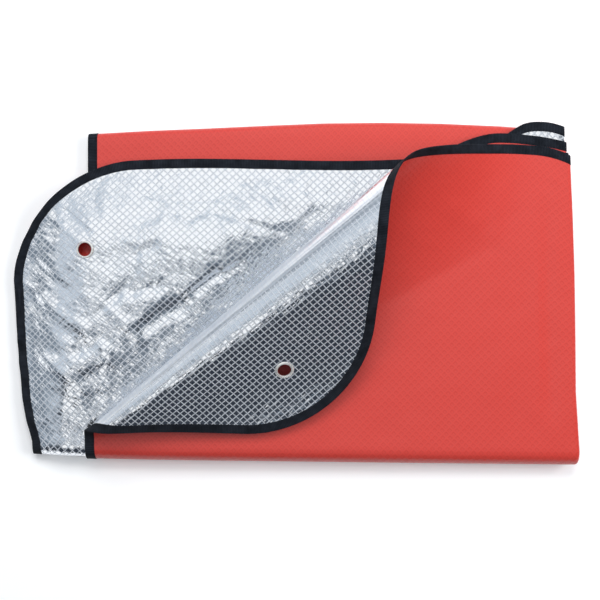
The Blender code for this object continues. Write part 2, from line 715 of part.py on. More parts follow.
def centre_over_origin(places_of):
    """Moves all pieces so that the origin lies on the floor under the part's middle."""
    everything = np.vstack(list(places_of.values()))
    low = everything.min(axis=0)
    high = everything.max(axis=0)
    shift = np.array([0.5 * (low[0] + high[0]), 0.5 * (low[1] + high[1]), low[2]])
    return {name: places - shift for name, places in places_of.items()}


def build():
    """Builds every piece of the blanket."""
    for old in list(bpy.data.objects):
        bpy.data.objects.remove(old, do_unlink=True)
    flat_places, flat_faces = flat_mesh()
    shapes = {
        "foil_sheet": thicken(flat_places, flat_faces),
        "edge_binding": binding_mesh(),
    }
    for name, centre in eyelet_centres().items():
        shapes[name] = eyelet_mesh(centre)
    places_of = centre_over_origin({name: shape[0] for name, shape in shapes.items()})
    finishes = {
        "foil_sheet": material("red_laminate", RED, 0.42, 0.0),
        "edge_binding": material("black_tape", BLACK, 0.7, 0.0),
    }
    nickel = (NICKEL, 0.25, 1.0)
    for name in shapes:
        if name not in finishes:
            finishes[name] = material(name + "_nickel", *nickel)
        add_piece(name, places_of[name], shapes[name][1], finishes[name])


build()
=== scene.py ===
"""Looks of a folded emergency blanket: laminate, woven binding, stitching and eyelets.

The blanket is one laminate sheet, red outside and metallised inside, folded twice along its
length and twice across its width, with the corner of its top leaf peeled back.  Every piece is
described flat, by (u, v) in metres along the length and across the width, and FoldPlan carries
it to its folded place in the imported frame.  Metres, +Z up.
"""

import logging
import math
from dataclasses import dataclass
from enum import Enum
from typing import Any, Callable, Sequence

import bpy
import numpy as np
from bpy.types import Material, Node, NodeSocket, Object, World
from mathutils.geometry import delaunay_2d_cdt
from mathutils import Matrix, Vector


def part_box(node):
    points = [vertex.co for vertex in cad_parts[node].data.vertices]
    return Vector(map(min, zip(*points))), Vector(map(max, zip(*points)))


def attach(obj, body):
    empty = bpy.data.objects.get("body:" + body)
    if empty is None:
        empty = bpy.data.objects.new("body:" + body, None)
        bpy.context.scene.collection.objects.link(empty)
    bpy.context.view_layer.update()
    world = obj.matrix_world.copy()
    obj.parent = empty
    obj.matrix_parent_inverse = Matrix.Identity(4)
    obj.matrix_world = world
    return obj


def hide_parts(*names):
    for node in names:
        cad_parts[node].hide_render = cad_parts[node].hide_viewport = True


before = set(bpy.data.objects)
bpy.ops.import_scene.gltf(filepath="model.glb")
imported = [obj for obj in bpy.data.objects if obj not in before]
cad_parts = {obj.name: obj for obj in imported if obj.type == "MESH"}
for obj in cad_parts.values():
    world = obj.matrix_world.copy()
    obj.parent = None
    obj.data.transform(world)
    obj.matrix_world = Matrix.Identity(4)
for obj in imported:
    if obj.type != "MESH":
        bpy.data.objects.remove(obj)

LOG = logging.getLogger("blanket")
MM = 0.001
FLAT_MAP = "flat"
HASH_FACTORS = (374761393, 668265263, 362437, 1274126177)
HASH_MASK = 0xFFFFFFFF

Array = np.ndarray
Pair = tuple[float, float]
Triple = tuple[float, float, float]
Rows = Sequence[Sequence[float]]
Adder = Callable[..., Node]

SMOOTH = {"interpolation_type": "SMOOTHSTEP"}
IN_2D = {"noise_dimensions": "2D"}


# --- small helpers ---


def linear(code: str) -> tuple[float, ...]:
    """Turns an sRGB hex colour into linear RGBA.

    Args:
        code: six hex digits after a hash sign.

    Returns:
        Linear red, green, blue and an alpha of 1.
    """
    channels = (int(code[i:i + 2], 16) / 255.0 for i in (1, 3, 5))
    return (*(c / 12.92 if c <= 0.04045 else ((c + 0.055) / 1.055) ** 2.4 for c in channels),
            1.0)


def ease(t: Array) -> Array:
    """Smooth step from 0 to 1."""
    t = np.clip(t, 0.0, 1.0)
    return t * t * (3.0 - 2.0 * t)


def unit(vectors: Array) -> Array:
    """The same vectors at a length of 1."""
    return vectors / np.linalg.norm(vectors, axis=-1, keepdims=True)


def nearest(values: Array, lines: Array) -> Array:
    """Distance from each value to the nearest line."""
    return np.abs(values[:, None] - lines).min(axis=1)


def grid(first: Array, second: Array) -> Array:
    """Every pair of two lists of places, with the first running fastest."""
    return np.stack(np.meshgrid(first, second), axis=-1).reshape(-1, 2)


def along_loop(points: Array) -> Array:
    """Distance along a closed loop at each of its points, and at the first one again."""
    steps = np.linalg.norm(np.roll(points, -1, axis=0) - points, axis=1)
    return np.concatenate([[0.0], np.cumsum(steps)])


def bezier(points: Rows, t: Array) -> Array:
    """Cubic Bezier curve at the parameters t."""
    shares = ((1 - t)**3, 3 * (1 - t)**2 * t, 3 * (1 - t) * t**2, t**3)
    return sum(share[:, None] * np.array(point) for share, point in zip(shares, points))


def through(rows: Rows, place: Array, column: int = 1, scale: float = MM) -> Array:
    """Reads a smooth curve through a table.

    Args:
        rows: the table; its first column is the place.
        place: where to read it.
        column: the column that holds the value.
        scale: what the value is multiplied by.

    Returns:
        The value at each place, held constant past the table's ends.
    """
    table = np.array(rows, dtype=float)
    places, values = table[:, 0], table[:, column] * scale
    slopes = np.gradient(values, places)
    i = np.clip(np.searchsorted(places, place) - 1, 0, len(places) - 2)
    width = places[i + 1] - places[i]
    t = np.clip((place - places[i]) / width, 0.0, 1.0)
    rise = values[i] * (2 * t**3 - 3 * t**2 + 1) + values[i + 1] * (3 * t**2 - 2 * t**3)
    bend = slopes[i] * (t**3 - 2 * t**2 + t) + slopes[i + 1] * (t**3 - t**2)
    return rise + bend * width


def lattice_noise(x: Array, y: Array, seed: int) -> Array:
    """Smooth random field on a unit lattice, the same in each run.

    Args:
        x: first coordinate, in lattice steps.
        y: second coordinate, in lattice steps.
        seed: picks one of many fields.

    Returns:
        Values between -1 and 1.
    """
    column, row = np.floor(x).astype(np.int64), np.floor(y).astype(np.int64)
    across, down = ease(x - column), ease(y - row)
    by_column, by_row, by_seed, spread = HASH_FACTORS

    def corner(i: int, j: int) -> Array:
        """Random value of one corner of each cell.

        Args:
            i: 0 for the near column, 1 for the far one.
            j: 0 for the near row, 1 for the far one.

        Returns:
            Values between -1 and 1.
        """
        mixed = ((column + i) * by_column + (row + j) * by_row + seed * by_seed) & HASH_MASK
        mixed = ((mixed ^ (mixed >> 13)) * spread) & HASH_MASK
        return (mixed ^ (mixed >> 16)) / (HASH_MASK // 2) - 1.0

    top, low = (corner(0, j) * (1 - across) + corner(1, j) * across for j in (0, 1))
    return top * (1 - down) + low * down


# --- finishes ---


class Nodes:
    """The node tree of a material or a world, with one way to add a node."""

    def __init__(self, owner: Material | World) -> None:
        """Takes the owner's node tree into use."""
        owner.use_nodes = True
        self.owner, self.tree = owner, owner.node_tree

    def feed(self, socket: NodeSocket, value: Any) -> None:
        """Links a socket, or sets its constant.

        Args:
            socket: the input.
            value: an output, a node whose first output counts, a hex colour or a constant.
        """
        if isinstance(value, Node):
            value = value.outputs[0]
        if isinstance(value, NodeSocket):
            self.tree.links.new(value, socket)
        else:
            socket.default_value = linear(value) if isinstance(value, str) else value

    def add(self, kind: str, *values: Any, **settings: Any) -> Node:
        """Adds a node with its settings and links.

        Args:
            kind: the node's type without its ShaderNode prefix, or what a Math node does.
            *values: what feeds the first sockets, in order.
            **settings: sockets by name, with a capital, or as i6 by number; the rest are
                attributes of the node.

        Returns:
            The new node.
        """
        if kind.isupper():
            kind, settings["operation"] = "Math", kind
        node = self.tree.nodes.new("ShaderNode" + kind)
        for key, value in settings.items():
            if key[1:].isdigit():
                self.feed(node.inputs[int(key[1:])], value)
            elif key[0].isupper():
                self.feed(node.inputs[key.replace("_", " ")], value)
            else:
                setattr(node, key, value)
        for socket, value in zip(node.inputs, values):
            self.feed(socket, value)
        return node

    def dress(self, share: Any, low: str, high: str, height: Any = None,
              depth: Pair = (1.0, 1.0), **inputs: Any) -> Material:
        """Sets the surface of the material.

        Args:
            share: how far the colour is from low to high.
            low: hex colour at a share of 0.
            high: hex colour at a share of 1.
            height: relief of the surface, if it has any.
            depth: strength and distance of the relief.
            **inputs: the shader's other sockets by name.

        Returns:
            The finished material.
        """
        inputs["Base_Color"] = self.add("Mix", share, i6=low, i7=high,
                                        data_type="RGBA").outputs[2]
        if height is not None:
            inputs["Normal"] = self.add("Bump", *depth, Height=height)
        for key, value in inputs.items():
            socket = self.tree.nodes["Principled BSDF"].inputs[key.replace("_", " ")]
            self.feed(socket, value)
        return self.owner


@dataclass(frozen=True)
class Scrim:
    """Diagonal reinforcing tapes between the two films, which stand out as low flat ridges."""

    pitch: float = 5.45 * MM
    tape_width: float = 0.95 * MM
    edge_width: float = 0.3 * MM
    corner_rounding: float = 0.25
    ridge_height: float = 0.14 * MM

    def phases(self, add: Adder) -> list[Node]:
        """Place along each diagonal.

        Args:
            add: adds a node.

        Returns:
            One node for each diagonal, counted in tapes.
        """
        east, north, _ = add("SeparateXYZ", add("UVMap", uv_map=FLAT_MAP)).outputs
        share = math.sqrt(0.5) / self.pitch
        along = add("MULTIPLY", east, share)
        return [add("MULTIPLY_ADD", north, way * share, along) for way in (1, -1)]

    def ridges(self, add: Adder, phases: Sequence[Node]) -> Node:
        """Ridges of both diagonals.

        Args:
            add: adds a node.
            phases: place along each diagonal.

        Returns:
            Height of the ridges, from 0 between tapes to 1 on them.
        """
        near = 0.5 * (self.pitch - self.tape_width)
        edges = (near - 0.5 * self.edge_width, near + 0.5 * self.edge_width)
        rows = []
        for phase in phases:
            part = add("SUBTRACT", add("FRACT", phase), 0.5)
            away = add("MULTIPLY", add("ABSOLUTE", part), self.pitch)
            rows.append(add("MapRange", away, *edges, **SMOOTH))
        return add("SMOOTH_MAX", *rows, self.corner_rounding)

    def cell_tilt(self, add: Adder, phases: Sequence[Node]) -> Node:
        """Leans each cell of film its own way.

        Args:
            add: adds a node.
            phases: place along each diagonal.

        Returns:
            A height field of about -0.5 to 0.5.
        """
        cell = add("CombineXYZ", *(add("FLOOR", phase) for phase in phases))
        random = add("TexWhiteNoise", **IN_2D, Vector=cell)
        total: Any = 0.0
        for phase, slope in zip(phases, add("SeparateXYZ", random.outputs["Color"]).outputs):
            local = add("SUBTRACT", add("FRACT", phase), 0.5)
            lean = add("SUBTRACT", slope, 0.5)
            total = add("MULTIPLY_ADD", local, lean, total)
        return total


@dataclass(frozen=True)
class TautBand:
    """Where the film is pulled taut over the ridge of the roll, in straight lines to a point."""

    # flat place of the point where the lines meet, and the angles where the band starts and
    # ends there, each over a short way
    point: Pair = (-94.6 * MM, 381.5 * MM)
    starts: Pair = (math.radians(41.0), math.radians(43.5))
    ends: Pair = (math.radians(45.3), math.radians(49.5))
    streak_angle: float = math.radians(0.9)
    streak_length: float = 160.0 * MM

    def shares(self, add: Adder) -> tuple[Node, Node]:
        """Where the band is and how it is streaked.

        Args:
            add: adds a node.

        Returns:
            How taut the film is, from 0 to 1, and a field of streaks along the lines.
        """
        east, north, _ = add("SeparateXYZ", add("UVMap", uv_map=FLAT_MAP)).outputs
        east = add("SUBTRACT", east, self.point[0])
        north = add("SUBTRACT", self.point[1], north)
        angle = add("ARCTAN2", north, east)
        square = add("MULTIPLY", north, north)
        reach = add("SQRT", add("MULTIPLY_ADD", east, east, square))
        start = add("MapRange", angle, *self.starts, **SMOOTH)
        end = add("MapRange", angle, *self.ends, 1.0, 0.0, **SMOOTH)
        lines = add("CombineXYZ", add("DIVIDE", angle, self.streak_angle),
                    add("DIVIDE", reach, self.streak_length))
        streaks = add("TexNoise", **IN_2D, Vector=lines, Scale=1.0)
        return add("MULTIPLY", start, end), streaks


@dataclass(frozen=True)
class MetallisedPolyethylene:
    """Aluminium-coated film, laminated over a scrim by hot rollers.

    It gives the eye a soft mirror: the film between the tapes shows what lies over it, bright
    or dark, and the film pressed on the woven tapes is duller and evenly pale.
    """

    film: str = "#FAFCFF"
    over_tape: str = "#F0F4FA"
    # length, height and detail of the round relief, then length and height of the creases
    crinkle: Triple = (13.0 * MM, 0.4 * MM, 2.0)
    flutter: Triple = (3.2 * MM, 0.035 * MM, 1.0)
    crease: Pair = (20.0 * MM, 0.36 * MM)
    crease_stretch: float = 3.0
    # direction and share of the creases that run each way
    crease_ways: tuple[Pair, Pair] = ((math.radians(45.0), 0.6), (math.radians(-38.0), 0.4))
    cell_height: float = 0.34 * MM
    streak_height: float = 0.5 * MM
    film_roughness: float = 0.15
    taut_roughness: float = 0.28
    tape_roughness: float = 0.5
    tape_metallic: float = 0.68
    # share of the relief that the pull takes out of the taut film
    pulled_flat: float = 0.85
    scrim: Scrim = Scrim()
    taut_band: TautBand = TautBand()

    def creases(self, add: Adder) -> Node:
        """Sharp fine creases that run both ways across the sheet.

        Args:
            add: adds a node.

        Returns:
            A height field of about 0 to 1.
        """
        total: Any = 0.0
        for turn, share in self.crease_ways:
            lines = add("Mapping", add("UVMap", uv_map=FLAT_MAP),
                        vector_type="TEXTURE", Rotation=(0.0, 0.0, turn),
                        Scale=(1.0, self.crease_stretch, 1.0))
            waves = add("TexNoise", **IN_2D, Vector=lines, Detail=1.0,
                        Scale=self.crease_stretch / self.crease[0])
            fold = add("ABSOLUTE", add("SUBTRACT", waves, 0.5))
            total = add("MULTIPLY_ADD", fold, 4.0 * share, total)
        return total

    def build(self) -> Material:
        """Makes the material.

        Returns:
            The material.
        """
        nodes = Nodes(bpy.data.materials.new("metallised_polyethylene_film"))
        add = nodes.add
        place = add("UVMap", uv_map=FLAT_MAP)
        phases = self.scrim.phases(add)
        ridges = self.scrim.ridges(add, phases)
        taut, streaks = self.taut_band.shares(add)
        tilt = add("MULTIPLY", self.scrim.cell_tilt(add, phases), add("SUBTRACT", 1.0, ridges))
        reliefs = [(ridges, self.scrim.ridge_height), (tilt, self.cell_height),
                   (self.creases(add), self.crease[1])]
        for length, scale, detail in (self.crinkle, self.flutter):
            waves = add("TexNoise", **IN_2D, Vector=place, Scale=1.0 / length, Detail=detail)
            reliefs.append((waves, scale))
        height: Any = 0.0
        for relief, scale in reliefs:
            height = add("MULTIPLY_ADD", relief, scale, height)
        slack = add("MULTIPLY_ADD", taut, -self.pulled_flat, 1.0)
        height = add("MULTIPLY", height, slack)
        height = add("MULTIPLY_ADD", add("MULTIPLY", streaks, taut), self.streak_height, height)
        dull = add("MapRange", taut, 0.0, 1.0, self.film_roughness, self.taut_roughness)
        rough = add("MapRange", ridges, 0.0, 1.0, dull, self.tape_roughness)
        metal = add("MapRange", ridges, 0.0, 1.0, 1.0, self.tape_metallic)
        return nodes.dress(ridges, self.film, self.over_tape, height, Metallic=metal,
                           Roughness=rough)


@dataclass(frozen=True)
class RedPolyethylene:
    """Pigmented polyethylene film, extruded over the other side of the scrim.

    It gives the eye an even, slightly waxy red with a fine diagonal crosshatch, where the edges
    of the tapes press through the film; the hatch's darker colour is partly the film's own and
    partly painted shade on the flanks of the tape ridges.
    """

    pigment: str = "#CE4138"
    # colour of the hatch: partly the film's own crosshatch, partly painted shade on the ridge
    # flanks
    hatch_and_shade: str = "#A12420"
    hatch_and_shade_share: float = 0.3
    ripple_length: float = 30.0 * MM
    ripple_height: float = 0.5 * MM
    roughness: Pair = (0.36, 0.48)
    ior: float = 1.62
    scrim: Scrim = Scrim(tape_width=2.5 * MM, edge_width=1.1 * MM, ridge_height=0.12 * MM)

    def build(self) -> Material:
        """Makes the material.

        Returns:
            The material.
        """
        nodes = Nodes(bpy.data.materials.new("pigmented_polyethylene_film"))
        add = nodes.add
        place = add("UVMap", uv_map=FLAT_MAP)
        ridges = self.scrim.ridges(add, self.scrim.phases(add))
        ripple, mottle = (add("TexNoise", **IN_2D, Vector=place,
                              Scale=share / self.ripple_length) for share in (1.0, 0.5))
        height = add("MULTIPLY", ridges, self.scrim.ridge_height)
        height = add("MULTIPLY_ADD", ripple, self.ripple_height, height)
        # the hatch colour peaks half way up each ridge's flank, partly as painted shade
        edges = add("MULTIPLY", ridges, add("SUBTRACT", 1.0, ridges))
        share = add("MULTIPLY", edges, 4.0 * self.hatch_and_shade_share)
        rough = add("MapRange", mottle, 0.0, 1.0, *self.roughness)
        return nodes.dress(share, self.pigment, self.hatch_and_shade, height, Roughness=rough,
                           IOR=self.ior)


@dataclass(frozen=True)
class WovenPolyesterTape:
    """Narrow woven polyester tape, dyed black.

    It gives the eye a dull blue-black band with a fine diagonal grain, whose yarn crests carry a
    painted highlight in random patches.  The real yarns are 0.4 mm apart, too fine to show, so
    the grain is drawn four times as coarse.
    """

    dark: str = "#05070B"
    # painted highlight on the crests of the yarns
    light: str = "#3C414B"
    yarn_pitch: float = 1.6 * MM
    yarn_height: float = 0.16 * MM
    # patches in a metre, over which the painted highlight on the yarn crests comes and goes
    patches: float = 90.0
    roughness: float = 0.78
    specular: float = 0.16

    def build(self) -> Material:
        """Makes the material.

        Returns:
            The material.
        """
        nodes = Nodes(bpy.data.materials.new("woven_polyester_tape"))
        add = nodes.add
        place = add("UVMap", uv_map=FLAT_MAP)
        along, around, _ = add("SeparateXYZ", place).outputs
        turns = 2.0 * math.pi / self.yarn_pitch
        warp, weft = (add("SINE", add("MULTIPLY", way, turns))
                      for way in (around, add("ADD", along, around)))
        grain = add("MULTIPLY_ADD", add("MULTIPLY", warp, weft), 0.5, 0.5)
        wear_and_sheen = add("TexNoise", **IN_2D, Vector=place, Scale=self.patches, Detail=3.0)
        # the grain's crests take the light colour, a painted highlight, patchy at random
        share = add("MULTIPLY", grain, wear_and_sheen)
        height = add("MULTIPLY", grain, self.yarn_height)
        return nodes.dress(share, self.dark, self.light, height, Roughness=self.roughness,
                           Specular_IOR_Level=self.specular)


@dataclass(frozen=True)
class SpunPolyesterThread:
    """Twisted sewing thread, dyed like the tape; it gives the eye short matt dashes, with
    painted shade in the hollows between its plies.

    The real plies are 0.8 mm apart, too fine to show, so they are drawn six times as coarse.
    """

    # painted shade in the hollows between the plies
    hollow_painted_shade: str = "#0F1116"
    shade: str = "#171A21"
    ply_pitch: float = 5.03 * MM
    roughness: float = 0.7
    specular: float = 0.2

    def build(self) -> Material:
        """Makes the material.

        Returns:
            The material.
        """
        nodes = Nodes(bpy.data.materials.new("spun_polyester_thread"))
        add = nodes.add
        # the wave turns 20 radians in a metre at a Scale of 1
        ply = add("TexWave", Vector=add("TexCoord").outputs["Object"],
                  Scale=0.1 * math.pi / self.ply_pitch, Distortion=2.0)
        return nodes.dress(ply.outputs[1], self.hollow_painted_shade, self.shade, Roughness=self.roughness,
                           Specular_IOR_Level=self.specular)


@dataclass(frozen=True)
class NickelPlatedBrass:
    """Stamped brass, rolled over and plated with bright nickel.

    It gives the eye a warm grey mirror, dulled by fine wear on the crown of the ring.
    """

    metal: str = "#FAF9F6"
    wear_and_sheen: str = "#E2E0DA"
    grit: float = 0.9 * MM
    # strength and distance of the relief
    grit_depth: Pair = (0.4, 0.02 * MM)
    wear_range: Pair = (0.3, 0.7)
    metallic: float = 0.55
    roughness: Pair = (0.2, 0.34)

    def build(self) -> Material:
        """Makes the material.

        Returns:
            The material.
        """
        nodes = Nodes(bpy.data.materials.new("nickel_plated_brass"))
        add = nodes.add
        wear = add("TexNoise", Vector=add("TexCoord").outputs["Object"],
                   Scale=1.0 / self.grit, Detail=4.0)
        rough = add("MapRange", wear, *self.wear_range, *self.roughness)
        return nodes.dress(wear, self.metal, self.wear_and_sheen, wear, self.grit_depth,
                           Metallic=self.metallic, Roughness=rough)


@dataclass(frozen=True)
class OpalBoard:
    """Matt white acrylic board, faintly lit from below; it gives the eye an even pale ground."""

    shade: str = "#FAFAFA"
    grain: str = "#F7F7F7"
    # patches in a metre
    patches: float = 6.0
    roughness: float = 0.9
    specular: float = 0.2
    light_below: float = 0.14

    def build(self) -> Material:
        """Makes the material.

        Returns:
            The material.
        """
        nodes = Nodes(bpy.data.materials.new("opal_acrylic_board"))
        add = nodes.add
        grain = add("TexNoise", Vector=add("TexCoord").outputs["Object"], Scale=self.patches)
        return nodes.dress(grain, self.shade, self.grain, Roughness=self.roughness,
                           Specular_IOR_Level=self.specular, Emission_Color=self.shade,
                           Emission_Strength=self.light_below)


# --- how the sheet is folded ---


@dataclass(frozen=True)
class PeeledCorner:
    """The roll of the top leaf's corner: a cone whose point lies outside the sheet."""

    point: Pair = (-317.6 * MM, -225.7 * MM)
    ridge: float = math.radians(40.16)
    # the cone's section where its ridge is one metre long, as curves and a straight run-out
    rise: tuple = ((-0.221, 0.0), (-0.209, 0.0), (0.0, 0.039), (0.0, 0.120))
    crown: tuple = ((0.0, 0.120), (0.0, 0.156), (-0.031, 0.185), (-0.07, 0.185))
    back: tuple = ((-0.07, 0.185), (-0.175, 0.185), (-0.23, 0.016), (-0.66, 0.006))
    run_out: Pair = (-1.6, 0.006)
    run_out_steps: int = 19
    clearance: float = 1.5 * MM
    full_x: float = 130.0 * MM
    none_x: float = 245.0 * MM
    full_above_front: float = 32.0 * MM
    samples: int = 240

    def directions(self) -> tuple[Array, Array]:
        """Directions of the cone's straight lines.

        Returns:
            Flat angles about the cone's point, and the unit direction at each.
        """
        fine = np.linspace(0.0, 1.0, self.samples + 1)
        curves = [bezier(curve, fine)[1:] for curve in (self.rise, self.crown, self.back)]
        section = np.vstack([self.rise[:1], *curves])
        run_out = np.linspace(section[-1], self.run_out, self.run_out_steps + 1)[1:]
        section = np.vstack([section, run_out])
        ridge = np.array([math.cos(self.ridge), math.sin(self.ridge)])
        across = np.array([-ridge[1], ridge[0]])
        lines = unit(np.column_stack([ridge + section[:, :1] * across, section[:, 1]]))
        steps = np.arccos(np.clip((lines[1:] * lines[:-1]).sum(axis=1), -1.0, 1.0))
        start = self.ridge + math.atan(self.rise[0][0])
        return start + np.concatenate([[0.0], np.cumsum(steps)]), lines

    def shift(self, x: Array, y: Array, front: Array) -> Array:
        """How far each point of the flat top leaf moves when its corner is peeled.

        Args:
            x: place along the leaf.
            y: place across the leaf.
            front: place of the front fold's start at each point.

        Returns:
            One shift for each point.
        """
        angles, lines = self.directions()
        east, north = x - self.point[0], y - self.point[1]
        angle = np.arctan2(north, east)
        line = unit(np.stack([np.interp(angle, angles, part) for part in lines.T], axis=1))
        moved = np.hypot(east, north)[:, None] * line
        moved -= np.stack([east, north, np.zeros_like(east)], axis=1)
        turned = (angle - angles[0]) / (angles[self.samples] - angles[0])
        moved[:, 2] += self.clearance * ease(turned)
        fade = ease((self.none_x - x) / (self.none_x - self.full_x))
        fade = fade * ease((y - front) / self.full_above_front)
        return moved * np.where(angle > angles[0], fade, 0.0)[:, None]


@dataclass(frozen=True)
class Dome:
    """Soft dome of the open leaf, beside the ridge of the peeled corner."""

    height: float = 12.0 * MM
    reach: float = 85.0 * MM
    under_ridge: float = 15.0 * MM
    back: float = 139.0 * MM
    left: float = -300.0 * MM
    front: float = -160.0 * MM

    def lift(self, x: Array, y: Array, corner: PeeledCorner) -> Array:
        """Height of the dome.

        Args:
            x: places along the leaf.
            y: places across the leaf.
            corner: the peeled corner whose ridge the dome follows.

        Returns:
            One height for each place.
        """
        across = (y - corner.point[1]) * math.cos(corner.ridge)
        across = across - (x - corner.point[0]) * math.sin(corner.ridge)
        shares = (across + self.under_ridge, self.back - y, x - self.left, y - self.front)
        return self.height * math.prod(ease(share / self.reach) for share in shares)


@dataclass(frozen=True)
class FoldPlan:
    """The folded blanket as a surface over its flat sheet, with sizes in metres."""

    solid_thickness: float = 1.2 * MM
    pitch: float = 2.0 * MM
    corner_radius: float = 128.0 * MM
    leaf_lengths: tuple = (508.0 * MM, 526.0 * MM, 526.0 * MM, 566.0 * MM)
    bundle_widths: tuple = (318.0 * MM, 336.0 * MM, 336.0 * MM, 300.0 * MM)
    # radii of the turns between leaves and between bundles, and levels, all in pitches
    leaf_turns: Triple = (1.5, 0.5, 0.5)
    bundle_turns: Triple = (6.0, 2.0, 2.0)
    leaf_levels: tuple = (1.5, -1.5, -0.5, 0.5)
    bundle_levels: tuple = (13.5, 1.5, 5.5, 9.5)
    leaf_1_edge: float = -223.0 * MM
    # place down the bundles, edge of leaf 4, fold of 2 and 3, fold of 1 and 2 (mm)
    side_rows: tuple = (
        (0.00, -300, -205, 284), (0.30, -303, -238, 288), (0.55, -300, -243, 289.5),
        (0.75, -296, -244, 290), (0.90, -290.5, -244, 291), (1.00, -282, -244, 294),
        (2.00, -212, -212, 280), (3.00, -206, -208, 288), (4.00, -200, -205, 282),
    )
    # x, back edges of leaves 1 to 4 of the top bundle (mm)
    back_edges_a: tuple = (
        (-300, 155.8, 130, 130, 126), (-250, 155.8, 130, 130, 132),
        (-200, 155.8, 130, 130, 137), (-150, 155.8, 133, 134, 139.3),
        (100, 155.8, 133, 136, 139.3), (180, 155.2, 135, 141, 144), (235, 154.4, 138, 144, 147),
        (254, 152.9, 140, 145, 147.5), (274, 147.7, 142.5, 146, 147),
        (284, 143.5, 143.5, 146.5, 146.5),
    )
    # x, back edges of leaves 1 to 4 of the second bundle (mm)
    back_edges_d: tuple = (
        (-300, 132, 132, 132, 132), (90, 127, 127, 126, 125), (130, 128, 131, 127, 124),
        (150, 134, 144.6, 132, 128), (166, 140, 155.6, 137, 132), (182, 146, 162.4, 143, 138),
        (202, 151, 167.3, 153, 146), (222, 155, 167.6, 169.5, 155),
        (238, 157, 166.2, 178.5, 163), (253, 158, 164.5, 180.4, 168),
        (266, 158.6, 162.3, 179.2, 172), (281, 158.8, 158.8, 174.8, 174.8),
    )
    # x, outside of the fold (mm)
    back_fold: tuple = ((-223, 169.6), (-177, 172.3), (-100, 175.6), (65, 181.8), (205, 178.6),
                        (281, 173))
    front_fold: tuple = ((-277, -172.9), (-214, -175), (1, -178.3), (281, -181.5))
    sink_start: float = -243.0 * MM
    sink_width: float = 60.0 * MM
    # y (mm), share of the height that the overhang of leaf 4 loses
    sink_shares: tuple = ((-180, 0.74), (-60, 0.68), (60, 0.58), (140, 0.48))
    eyelets_from_ends: Pair = (73.9 * MM, 81.0 * MM)
    eyelets_from_sides: Pair = (88.0 * MM, 95.4 * MM)
    difference: float = 0.2 * MM
    peel: PeeledCorner = PeeledCorner()
    dome: Dome = Dome()
    shift: Triple = (0.0, 0.0, 0.0)

    @property
    def marks(self) -> tuple[Array, Array]:
        """Where flat panels and turns begin and end, along the length and across the width.

        Returns:
            Places along u, and places along v.
        """
        found = []
        for panels, turns in ((self.leaf_lengths, self.leaf_turns),
                              (self.bundle_widths, self.bundle_turns)):
            lengths = [0.0, panels[0]]
            for panel, turn in zip(panels[1:], turns):
                lengths += [math.pi * (turn * self.pitch), panel]
            found.append(np.cumsum(lengths))
        return found[0], found[1]

    @property
    def size(self) -> Pair:
        """The sheet's flat length and width."""
        return tuple(float(marks[-1]) for marks in self.marks)

    def zigzag(self, s: Array, limits: Array, ends: Sequence, levels: Sequence[float],
               turns: Rows) -> tuple[Array, Array, Array, Array]:
        """Back-and-forth section of four flat panels and three turns.

        Args:
            s: places along the flat section.
            limits: where panels and turns begin and end.
            ends: start and end of each panel.
            levels: height of each panel, in pitches.
            turns: radius in pitches, side, and starting side (+1 top, -1 bottom) of each turn.

        Returns:
            Place, height and the two parts of the unit tangent.
        """
        place, level, along, climb = (np.zeros_like(s) for _ in range(4))
        levels = np.array(levels) * self.pitch
        run = np.clip(np.searchsorted(limits, s, side="right") - 1, 0, len(limits) - 2)
        for number, (start, end) in enumerate(ends):
            here = run == 2 * number
            length = limits[2 * number + 1] - limits[2 * number]
            way = np.sign(end - start)[here]
            done = s[here] - limits[2 * number]
            spare = np.abs(end - start)[here] - length
            place[here] = start[here] + way * (done + spare * ease(done / length))
            level[here] = levels[number]
            along[here] = way
        for number, (pitches, side, from_top) in enumerate(turns):
            here = run == 2 * number + 1
            radius = pitches * self.pitch
            angle = (s[here] - limits[2 * number + 1]) / radius
            middle = 0.5 * (levels[number] + levels[number + 1])
            place[here] = ends[number][1][here] + side * radius * np.sin(angle)
            level[here] = middle + from_top * radius * np.cos(angle)
            along[here] = side * np.cos(angle)
            climb[here] = -from_top * np.sin(angle)
        return place, level, along, climb

    def by_leaf(self, u: Array, rows: Rows, x: Array) -> Array:
        """Value of a table with one column a leaf; across a turn it blends two leaves.

        Args:
            u: places along the length, which say the leaf.
            rows: the table, in millimetres.
            x: places to read it at.

        Returns:
            One value for each point, in metres.
        """
        leaf = np.interp(u, self.marks[0], (0, 0, 1, 1, 2, 2, 3, 3))
        return sum(np.clip(1.0 - np.abs(leaf - number), 0.0, 1.0)
                   * through(rows, x / MM, number + 1) for number in range(4))

